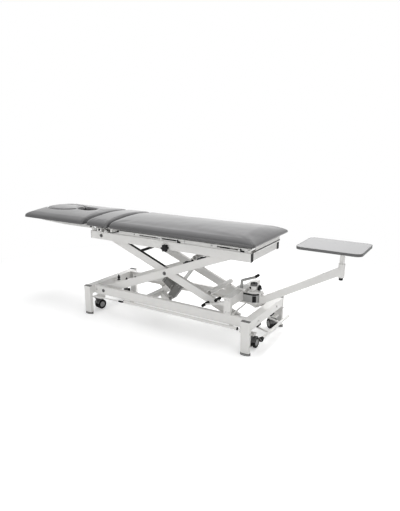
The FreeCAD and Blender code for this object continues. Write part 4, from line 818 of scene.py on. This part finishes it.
def makeRailTrim():
    for side, sign in sides:
        y0, y1 = sorted(sign * y for y in railTrim["linerAcross"])
        inset, level = railTrim["linerInset"], railTrim["level"]
        with newPiece("slotLiner" + side, blackPlastic, "upper_frame") as work:
            for start, end, half in railTrim["windows"]:
                addBlock(work, (start + inset, y0, level - half), (end - inset, y1, level + half),
                         railTrim["linerBevel"])
        y0, y1 = sorted(sign * y for y in railTrim["hookAcross"])
        low, middle, high = railTrim["hookLevels"]
        with newPiece("railHook" + side, blackPlastic, "upper_frame") as work:
            for start, end in railTrim["hooks"]:
                addBlock(work, (start, y0, low), (end, y1, middle), railTrim["hookBevel"])
                addBlock(work, (start, y0, low), (start + railTrim["hookTongue"], y1, high),
                         railTrim["hookBevel"])
        x, y, z = railTrim["discPlace"]
        with newPiece("hingeDisc" + side, blackPlastic, "upper_frame") as work:
            addTurned(work, railTrim["disc"], (x, sign * y, z), (0, sign, 0))
        y0, y1 = sorted(sign * y for y in railTrim["restAcross"])
        with newPiece("restBracket" + side, coatWhite, "upper_frame") as work:
            for start, end, low, high, inset in railTrim["rests"]:
                addBlock(work, (start, y0 + inset, low), (end, y1 - inset, high), railTrim["restBevel"])
        x, y, z = railTrim["studPlace"]
        with newPiece("restStud" + side, blackPlastic, "upper_frame") as work:
            addTurned(work, railTrim["stud"], (x, sign * y, z), (0, sign, 0), steps=24)
    with newPiece("slideLatch", blackPlastic, "upper_frame") as work:
        addTube(work, bend(railTrim["latch"], railTrim["latchBend"]), railTrim["latchRadius"])
        addTurned(work, railTrim["latchKnob"], railTrim["latch"][-1], railTrim["knobAxis"], steps=16)


castors = dict(
    turned=dict(head_near=(-1, -1, 80.0), head_far=(-1, 1, -52.0), foot_near=(1, -1, 90.0),
                foot_far=(1, 1, 137.0)),  # end, side, degrees
    along=677.5, aside=180.0, trail=28, level=41.5,
    hub=[(0, 22.0), (20.6, 22.0), (20.6, 25.4), (19.2, 26.6), (15, 26.2), (13.6, 25.2), (8.6, 25.2),
         (7.6, 27.0), (0, 27.4)])


def makeHubs():
    for label, (end, side, degrees) in castors["turned"].items():
        turn = math.radians(degrees)
        middle = (end * castors["along"] + castors["trail"] * math.cos(turn),
                  side * castors["aside"] + castors["trail"] * math.sin(turn), castors["level"])
        with newPiece("hub" + camel(label), hubGrey, "castor_wheels_" + label) as work:
            for way in (1, -1):
                axle = (-way * math.sin(turn), way * math.cos(turn), 0)
                addTurned(work, castors["hub"], middle, axle, steps=32)


def addEnd(work, place, axis, radius, length):  # a rounded plug or sleeve end
    addTurned(work, [(0, -0.4), (radius * 0.96, -0.4), (radius, 0.6), (radius, length * 0.7),
                     (radius * 0.8, length * 0.93), (radius * 0.4, length), (0, length)],
              place, axis, steps=20)


barPlugs = dict(ends=((598.0, 1), (-350.0, -1)), aside=237.0, level=147.0, radius=11.4, length=7.0)
pedalEnds = dict(x=762.0, aside=238.0, level=106.0, radius=10.4, length=5.0,
                 ball=[(0, -40), (10.6, -40), (12, -38), (12, -31), (13.5, -28), (16, -21), (16.6, -15),
                       (15.4, -8), (11, -1), (5, 2), (0, 2.4)])
leverTip = dict(place=(-367.0, -240.0, 142.0), slope=(258.0, 0.0, 6.0),
                profile=[(0, -34), (5.6, -34), (7.2, -31), (7.2, -2), (5.8, 2.5), (0, 3.4)])
footRings = dict(x=678.0, y=272.5, radii=(36.2, 19.2), levels=dict(Low=1.9, High=12.4), thick=1.5,
                 steps=40, sides=8)
stopPads = dict(x=(690.0, 707.0), spans=((-156.0, -100.0), (62.0, 119.0)), z=(150.0, 164.9), bevel=3.0)
headStud = dict(place=(-614.0, 11.0, 206.0),
                knob=[(0, -0.2), (13, -0.2), (13, 4), (8, 6), (7, 10), (10, 13), (11.5, 20), (9.5, 29),
                      (4.5, 40), (2.5, 46), (0, 47)],
                discPlace=(-648.0, 142.0, 174.0), disc=[(0, -0.2), (11, -0.2), (11, 3), (8, 5), (0, 5.4)],
                plates=(((-648.0, -12.0, 201.0), (-592.0, 34.0, 206.0)),
                        ((-648.0, -12.0, 170.0), (-643.0, 34.0, 205.0))), plateBevel=1.2)


def makeFloorFittings():
    for side, sign in sides:
        with newPiece("barPlugs" + side, blackPlastic, "foot_bar_" + side.lower()) as work:
            for x, way in barPlugs["ends"]:
                addEnd(work, (x, sign * barPlugs["aside"], barPlugs["level"]), (way, 0, 0),
                       barPlugs["radius"], barPlugs["length"])
    x, aside, level = pedalEnds["x"], pedalEnds["aside"], pedalEnds["level"]
    with newPiece("pedalBall", softRubber, "castor_shaft_foot") as work:
        addTurned(work, pedalEnds["ball"], (x, -aside, level), (0, -1, 0))
    with newPiece("pedalPlug", footGrey, "castor_shaft_foot") as work:
        addEnd(work, (x, aside, level), (0, 1, 0), pedalEnds["radius"], pedalEnds["length"])
    with newPiece("leverTip", softRubber, "castor_shaft_head") as work:
        slope = Vector(leverTip["slope"]).normalized()
        addTurned(work, leverTip["profile"], leverTip["place"], slope, steps=18)
    wide, narrow = footRings["radii"]
    for label, level in footRings["levels"].items():
        with newPiece("footRing" + label, softRubber, "base") as work:
            for x in (-footRings["x"], footRings["x"]):
                for y in (-footRings["y"], footRings["y"]):
                    ring = [(x + wide * math.cos(a), y + narrow * math.sin(a), level)
                            for a in turns(footRings["steps"])]
                    addTube(work, ring, footRings["thick"], footRings["sides"], closed=True)
    x, z = stopPads["x"], stopPads["z"]
    with newPiece("stopPads", softRubber, "base") as work:
        for start, end in stopPads["spans"]:
            addBlock(work, (x[0], start, z[0]), (x[1], end, z[1]), stopPads["bevel"])
    with newPiece("headStud", blackPlastic, "base") as work:
        addTurned(work, headStud["knob"], headStud["place"], (0, 0, 1), steps=24)
        addTurned(work, headStud["disc"], headStud["discPlace"], (1, 0, 0), steps=22)
    with newPiece("studPlate", coatWhite, "base") as work:
        for low, high in headStud["plates"]:
            addBlock(work, low, high, headStud["plateBevel"])


def addBand(work, inner, outer, low, high):
    stations = []
    for (ix, iy), (ox, oy) in zip(inner, outer):
        corners = ((ix, iy, low), (ox, oy, low), (ox, oy, high), (ix, iy, high))
        stations.append([work.verts.new(at(*corner)) for corner in corners])
    for first, second in zip(stations, stations[1:]):
        for k in range(4):
            work.faces.new((first[k], first[(k + 1) % 4], second[(k + 1) % 4], second[k]))
    work.faces.new(stations[0])
    work.faces.new(stations[-1])


nose = dict(middle=600.0, radius=45.0, start=544.0, clear=0.05, steps=36,
            gasket=(2.6, 316.5, 327.4), skirt=(1.1, 266.0, 316.0),  # how proud, low, high
            lockArc=[-77 + 4 * k for k in range(9)], lock=(45.5, 48.6, 269.0, 312.0),
            screws=(-69, -53), screwReach=48.4, screwLevel=292.0,
            screw=[(0, -1), (4.2, -1), (4.2, 1.0), (2.2, 1.1), (2.2, 0.3), (0, 0.3)])
clampLever = dict(path=((520.0, -25.0, 369.0), (520.0, -25.0, 404.0), (571.0, 70.0, 408.0)),
                  bend=14.0, radius=9.2,
                  grip=[(0, -3), (9.6, -3), (10.4, 0), (10.4, 31), (8.6, 39), (4.5, 42.5), (0, 43)],
                  gripPlace=(572.0, 72.0, 408.0), gripAxis=(14.0, 36.0, 10.0))
swivel = dict(cap=[(0, 375.6), (24.0, 375.6), (25.0, 377), (25.0, 386.5), (23.4, 389.6), (19, 391.0),
                   (0, 391.0)],
              ringRadius=21, ringLevel=391.0, ringThick=2.2, ringSteps=36,
              plug=[(0, 391.0), (11, 391.0), (10.4, 393), (7, 393.6), (6.4, 392.4), (0, 392.4)],
              screws=((-123, 8.6, 361.0), (-156, 3.6, 358.0)), screwReach=27.6)


def aboutNose(radius, angle):
    return nose["middle"] + radius * math.cos(angle), radius * math.sin(angle)


def noseOutline(proud):  # round the clamp's nose from one side to the other
    radius = nose["radius"] + proud
    arc = [-math.pi / 2 + math.pi * k / nose["steps"] for k in range(nose["steps"] + 1)]
    return [(nose["start"], -radius)] + [aboutNose(radius, a) for a in arc] + [(nose["start"], radius)]


def makeClampTrim():
    # the grey band under the black gasket is painted shade of the gasket's overhang on the white nose
    for label, finish, (proud, low, high) in (("noseGasket", blackPlastic, nose["gasket"]),
                                              ("noseShadeSkirt", noseShadeGrey, nose["skirt"])):
        with newPiece(label, finish, "clamp") as work:
            addBand(work, noseOutline(nose["clear"]), noseOutline(proud), low, high)
    with newPiece("noseLock", blackPlastic, "clamp") as work:
        inner, outer, low, high = nose["lock"]
        arc = [math.radians(angle) for angle in nose["lockArc"]]
        addBand(work, [aboutNose(inner, a) for a in arc], [aboutNose(outer, a) for a in arc], low, high)
        for angle in nose["screws"]:
            a = math.radians(angle)
            addTurned(work, nose["screw"], (*aboutNose(nose["screwReach"], a), nose["screwLevel"]),
                      (math.cos(a), math.sin(a), 0), steps=14)
    with newPiece("leverSleeve", footGrey, "clamp_lever") as work:
        addTube(work, bend(clampLever["path"], clampLever["bend"]), clampLever["radius"], sides=16)
    with newPiece("leverGrip", softRubber, "clamp_lever") as work:
        axis = Vector(clampLever["gripAxis"]).normalized()
        addTurned(work, clampLever["grip"], clampLever["gripPlace"], axis, steps=20)
    with newPiece("swivelCap", capGrey, "traction_arm") as work:
        addTurned(work, swivel["cap"], (nose["middle"], 0.0, 0.0), (0, 0, 1), steps=40)
    with newPiece("swivelRing", blackPlastic, "traction_arm") as work:
        ring = [(*aboutNose(swivel["ringRadius"], a), swivel["ringLevel"])
                for a in turns(swivel["ringSteps"])]
        addTube(work, ring, swivel["ringThick"], sides=8, closed=True)
        addTurned(work, swivel["plug"], (nose["middle"], 0, 0), (0, 0, 1), steps=24)
    with newPiece("collarScrews", blackPlastic, "traction_arm") as work:
        for angle, radius, level in swivel["screws"]:
            a = math.radians(angle)
            addTurned(work, [(0, -2), (radius, -2), (radius, 2.2), (radius * 0.7, 3.4), (0, 3.6)],
                      (*aboutNose(swivel["screwReach"], a), level), (math.cos(a), math.sin(a), 0), steps=20)


grips = dict(places=((340.0, 255.0, -244.0), (432.0, 304.0, -234.0)), end=-164.0, radius=9.6, ribInset=6.0,
             ribStep=6.0, ribThick=1.1)


def makeReleaseTrim():  # ribbed rubber on the two grips
    paths = []
    end, radius, inset = grips["end"], grips["radius"], grips["ribInset"]
    with newPiece("gripSleeves", softRubber, "release_pedal") as work:
        for x, z, start in grips["places"]:
            length = end - start
            addTurned(work, [(0, -0.4), (radius - 2.2, -0.4), (radius, 1.8), (radius, length - 1.8),
                             (radius - 1.4, length), (0, length)], (x, start, z), (0, 1, 0), steps=24)
            paths.append(lineOn([(x, start + inset, z), (x, end - inset, z)], (0.0, 0.0, 1.0)))
    runTree("gripRibs", ribTree, paths, softRubber, "release_pedal", Step=grips["ribStep"] / 1000,
            Ring_Radius=radius / 1000, Ring_Thickness=grips["ribThick"] / 1000)


drive = dict(corner=(-142.3, -27.0, 288.4), end=(-69.5, 232.2), length=92.0, seams=(0.16, 0.78),
             seamReach=(0.5, 12, 25, 37.4), seamProud=0.2, seamRadius=0.9,
             screws=((0.06, 5), (0.06, 33), (0.9, 5), (0.9, 33)), half=27.0,
             gearScrews=((-68, 181), (-56, 173), (-10, 276), (4, 265)), gearHalf=28.0,
             screw=dict(Head_Radius=0.0028, Head_Height=0.003, Washer_Radius=0.0038, Sides=16))


def makeDriveTrim():  # seams and screws of the lift motor
    corner, end = Vector(drive["corner"]), drive["end"]
    slope = Vector((end[0] - drive["corner"][0], 0.0, end[1] - drive["corner"][2])).normalized()
    rise = Vector((slope.z * -1, 0.0, slope.x))
    with newPiece("motorSeams", blackPlastic, "actuator") as work:
        for share in drive["seams"]:
            spot = corner + slope * drive["length"] * share
            out = Vector((0, -drive["seamProud"], 0))
            path = [tuple(spot + rise * reach + out) for reach in drive["seamReach"]]
            addTube(work, path, drive["seamRadius"], sides=8)
    places = []
    for share, lift in drive["screws"]:
        spot = corner + slope * drive["length"] * share + rise * lift
        places.append((spot.x, drive["half"], spot.z))
    places += [(x, drive["gearHalf"], z) for x, z in drive["gearScrews"]]
    spots = [(x, sign * half, z, (0.0, float(sign), 0.0)) for x, half, z in places for _, sign in sides]
    runTree("motorScrews", boltTree, pointsOn(spots), zincSteel, "actuator", **drive["screw"])


bolts = {
    "frame": dict(Head_Radius=0.0052, Head_Height=0.006, Washer_Radius=0.0075, Sides=6),
    "pin": dict(Head_Radius=0.0065, Head_Height=0.007, Washer_Radius=0.0115, Sides=6),
    "tray": dict(Head_Radius=0.0052, Head_Height=0.005, Washer_Radius=0.008, Sides=6),
    "arm": dict(Head_Radius=0.0046, Head_Height=0.005, Washer_Radius=0.0065, Sides=6),
}
boltSpots = {
    "upper_frame": [(x, y, 666.5) for x in (-430, -250, -10, 180, 390, 592, 656) for y in (-213, 213)]
                   + [(x, y, z) for x, z in ((-640, 668), (-628, 659)) for y in (-204, 204)],
    "base": [(x, y, 140) for x in (-625, 625) for y in (-215, 215)]
            + [(x, y, z) for x in (505, 529) for z in (240, 325) for y in (-228, 228)]
            + [(x, y, 192) for x in (-630, 630) for y in (-228, 228)],
}
endSpots = [(708, y, z) for y in (-272, 272) for z in (60, 146)] + [(708, y, 195) for y in (-150, 150)]
pinSpots = {"base": (-562, 231, 192.5), "outer_arms": (-11, 188, 408.5), "upper_frame": (-562, 222, 624.5)}
trayPost = dict(x=1173.0, boltCircle=52, boltLevel=694.7, weldRadius=15.5, weldLevel=694.0)
armEnd = dict(x=662.2, bolts=((-14, 324), (14, 324)))


def makeBolts():
    for body, spots in boltSpots.items():
        placed = pointsOn([(x, y, z, (0.0, math.copysign(1.0, y), 0.0)) for x, y, z in spots])
        if body == "base":
            for way in (1, -1):
                placed += pointsOn([(way * x, y, z, (float(way), 0.0, 0.0)) for x, y, z in endSpots])
        runTree("bolts" + camel(body), boltTree, placed, zincSteel, body, **bolts["frame"])
    for body, (x, y, z) in pinSpots.items():
        placed = pointsOn([(x, sign * y, z, (0.0, float(sign), 0.0)) for _, sign in sides])
        runTree("pinBolts" + camel(body), boltTree, placed, capGrey, body, **bolts["pin"])
    reach, level = trayPost["boltCircle"], trayPost["boltLevel"]
    spots = [(trayPost["x"] + reach * math.cos(a), reach * math.sin(a), level, (0.0, 0.0, -1.0))
             for a in [math.pi / 4 + angle for angle in turns(4)]]
    runTree("trayBolts", boltTree, pointsOn(spots), zincSteel, "tray_post", **bolts["tray"])
    spots = [(armEnd["x"], y, z, (1.0, 0.0, 0.0)) for y, z in armEnd["bolts"]]
    runTree("armBolts", boltTree, pointsOn(spots), zincSteel, "traction_arm", **bolts["arm"])


welds = {
    "base": dict(Step=0.0035, Length=0.0055, Width=0.005, Height=0.0024),
    "post": dict(Step=0.0035, Length=0.005, Width=0.0045, Height=0.0024),
    "arm": dict(Step=0.0035, Length=0.0055, Width=0.005, Height=0.0026),
}
cornerWelds = dict(x=708.3, y=260.0, inset=60.6, innerY=259.74, z=(166.0, 224.0))
portalWelds = dict(x=(492.0, 542.0), y=228.2, z=225.2, faceX=542.3, faceY=200.0, faceZ=(281.0, 340.0))
armWelds = dict(x=662.4, y=19.6, z=(257.0, 308.5), topY=19.0, topZ=309.2)


def uprightRun(x, y, span, facing):  # a straight run from the lower to the higher level
    return lineOn([(x, y, z) for z in span], facing)


def ringOn(middle, radius, count=28):  # a level circle that faces outwards
    turn = Vector((0, 0, 1)).to_track_quat("Z", "Y")
    spots = []
    for k in range(count + 1):
        a = 2 * math.pi * k / count
        away = turn @ Vector((math.cos(a), math.sin(a), 0.0))
        spots.append((at(*middle) + away * radius / 1000, tuple(away)))
    return spots


def makeWelds():  # runs of bead where members meet
    paths = []
    for way in (-1.0, 1.0):
        x = way * cornerWelds["x"]
        for _, sign in sides:
            paths.append(uprightRun(x, sign * cornerWelds["y"], cornerWelds["z"], (way, 0.0, 0.0)))
            paths.append(uprightRun(x - way * cornerWelds["inset"], sign * cornerWelds["innerY"],
                                    cornerWelds["z"], (-way, 0.0, 0.0)))
    for _, sign in sides:
        foot = [(x, sign * portalWelds["y"], portalWelds["z"]) for x in portalWelds["x"]]
        paths.append(lineOn(foot, (0.0, float(sign), 0.0)))
        paths.append(uprightRun(portalWelds["faceX"], sign * portalWelds["faceY"], portalWelds["faceZ"],
                                (1.0, 0.0, 0.0)))
    runTree("weldsBase", rowTree, paths, coatWhite, "base", **welds["base"])
    ring = ringOn((trayPost["x"], 0.0, trayPost["weldLevel"]), trayPost["weldRadius"])
    runTree("weldsPost", rowTree, [ring], coatWhite, "tray_post", **welds["post"])
    paths = [uprightRun(armWelds["x"], sign * armWelds["y"], armWelds["z"], (0.7, sign * 0.7, 0.0))
             for _, sign in sides]
    paths.append(lineOn([(armWelds["x"], sign * armWelds["topY"], armWelds["topZ"]) for _, sign in sides],
                        (0.6, 0.0, 0.8)))
    runTree("weldsArm", rowTree, paths, coatWhite, "traction_arm", **welds["arm"])


makeRests()
makeSkirt()
makeUndersides()
makeSeams()
makeArmTrim()
makeRailTrim()
makeHubs()
makeFloorFittings()
makeClampTrim()
makeReleaseTrim()
makeDriveTrim()
makeBolts()
makeWelds()
print("fittings made")

# studio
view = dict(place=(1.895, -2.761, 1.386), tilt=75.11, turn=31.71, lens=33.18, sensor=36.0)
camera = newObject("camera", bpy.data.cameras.new("camera"))
camera.location = view["place"]
camera.rotation_euler = (math.radians(view["tilt"]), 0.0, math.radians(view["turn"]))
camera.data.lens = view["lens"]
camera.data.sensor_width = view["sensor"]
camera.data.sensor_fit = "AUTO"
scene.camera = camera


def seenRays(tree):
    path = addNode(tree, "ShaderNodeLightPath")
    seen = mathNode(tree, "MAXIMUM", path.outputs["Is Camera Ray"], path.outputs["Is Glossy Ray"])
    return mathNode(tree, "MAXIMUM", seen, path.outputs["Is Transmission Ray"])


floorSettings = dict(size=30.0, colour=(0.86, 0.86, 0.86, 1.0), rough=0.9, specular=0.1, fade=(1.1, 2.6),
                     lift=0.37)


def makeFloor():  # pale near the table, plain white further out
    work = bmesh.new()
    bmesh.ops.create_grid(work, x_segments=1, y_segments=1, size=floorSettings["size"])
    mesh = bpy.data.meshes.new("floor")
    work.to_mesh(mesh)
    work.free()
    floor = newObject("floor", mesh)
    material, tree, shader = newFinish("floorWhite")
    setInputs(tree, shader, Base_Color=floorSettings["colour"], Roughness=floorSettings["rough"],
              Specular_IOR_Level=floorSettings["specular"])
    reach = addNode(tree, "ShaderNodeVectorMath", operation="LENGTH", Vector=ownPlace(tree))
    far = addNode(tree, "ShaderNodeMapRange", interpolation_type="SMOOTHSTEP", Value=reach.outputs["Value"],
                  From_Min=floorSettings["fade"][0], From_Max=floorSettings["fade"][1])
    seen = seenRays(tree)
    level = mathNode(tree, "MULTIPLY", seen, floorSettings["lift"])
    lift = addNode(tree, "ShaderNodeEmission", Strength=level)
    near = addNode(tree, "ShaderNodeAddShader")
    tree.links.new(shader.outputs[0], near.inputs[0])
    tree.links.new(lift.outputs[0], near.inputs[1])
    white = addNode(tree, "ShaderNodeEmission")
    both = addNode(tree, "ShaderNodeMixShader", Fac=mathNode(tree, "MULTIPLY", far.outputs["Result"], seen))
    tree.links.new(near.outputs[0], both.inputs[1])
    tree.links.new(white.outputs[0], both.inputs[2])
    setInputs(tree, tree.nodes["Material Output"], Surface=both.outputs[0])
    mesh.materials.append(material)


skyLevel = dict(light=0.38, seen=1.0)


def makeWorld():
    world = bpy.data.worlds.new("studio")
    scene.world = world
    world.use_nodes = True
    tree = world.node_tree
    level = addNode(tree, "ShaderNodeMapRange", Value=seenRays(tree), To_Min=skyLevel["light"],
                    To_Max=skyLevel["seen"])
    setInputs(tree, tree.nodes["Background"], Color=(1.0, 1.0, 1.0, 1.0), Strength=level.outputs["Result"])


lamps = {
    "overhead": dict(place=(0.2, 0.9, 3.4), aim=(0.0, 0.0, 0.6), size=3.4, power=140.0, mirrored=False),
    "rightKey": dict(place=(3.8, -0.9, 2.0), aim=(0.2, 0.0, 0.5), size=2.2, power=17.0, mirrored=True),
    "frontFill": dict(place=(-0.8, -4.2, 1.8), aim=(0.0, 0.0, 0.4), size=3.0, power=40.0, mirrored=True),
    "backGlow": dict(place=(-0.6, 4.4, 1.7), aim=(0.0, 0.0, 0.7), size=3.6, power=25.0, mirrored=False),
    "topSheen": dict(place=(-2.4, 4.3, 2.2), aim=(0.0, 0.0, 0.7), size=5.0, power=19.0, mirrored=True),
}


def makeLamp(name, settings):
    data = bpy.data.lights.new(name, "AREA")
    data.size = settings["size"]
    data.energy = settings["power"]
    lamp = newObject(name, data)
    lamp.location = settings["place"]
    turn = (Vector(settings["aim"]) - Vector(settings["place"])).to_track_quat("-Z", "Y")
    lamp.rotation_euler = turn.to_euler()
    lamp.visible_camera = False
    lamp.visible_glossy = settings["mirrored"]


makeFloor()
makeWorld()
for lampName, lampSettings in lamps.items():
    makeLamp(lampName, lampSettings)
scene.view_settings.view_transform = "Standard"
print("studio ready")
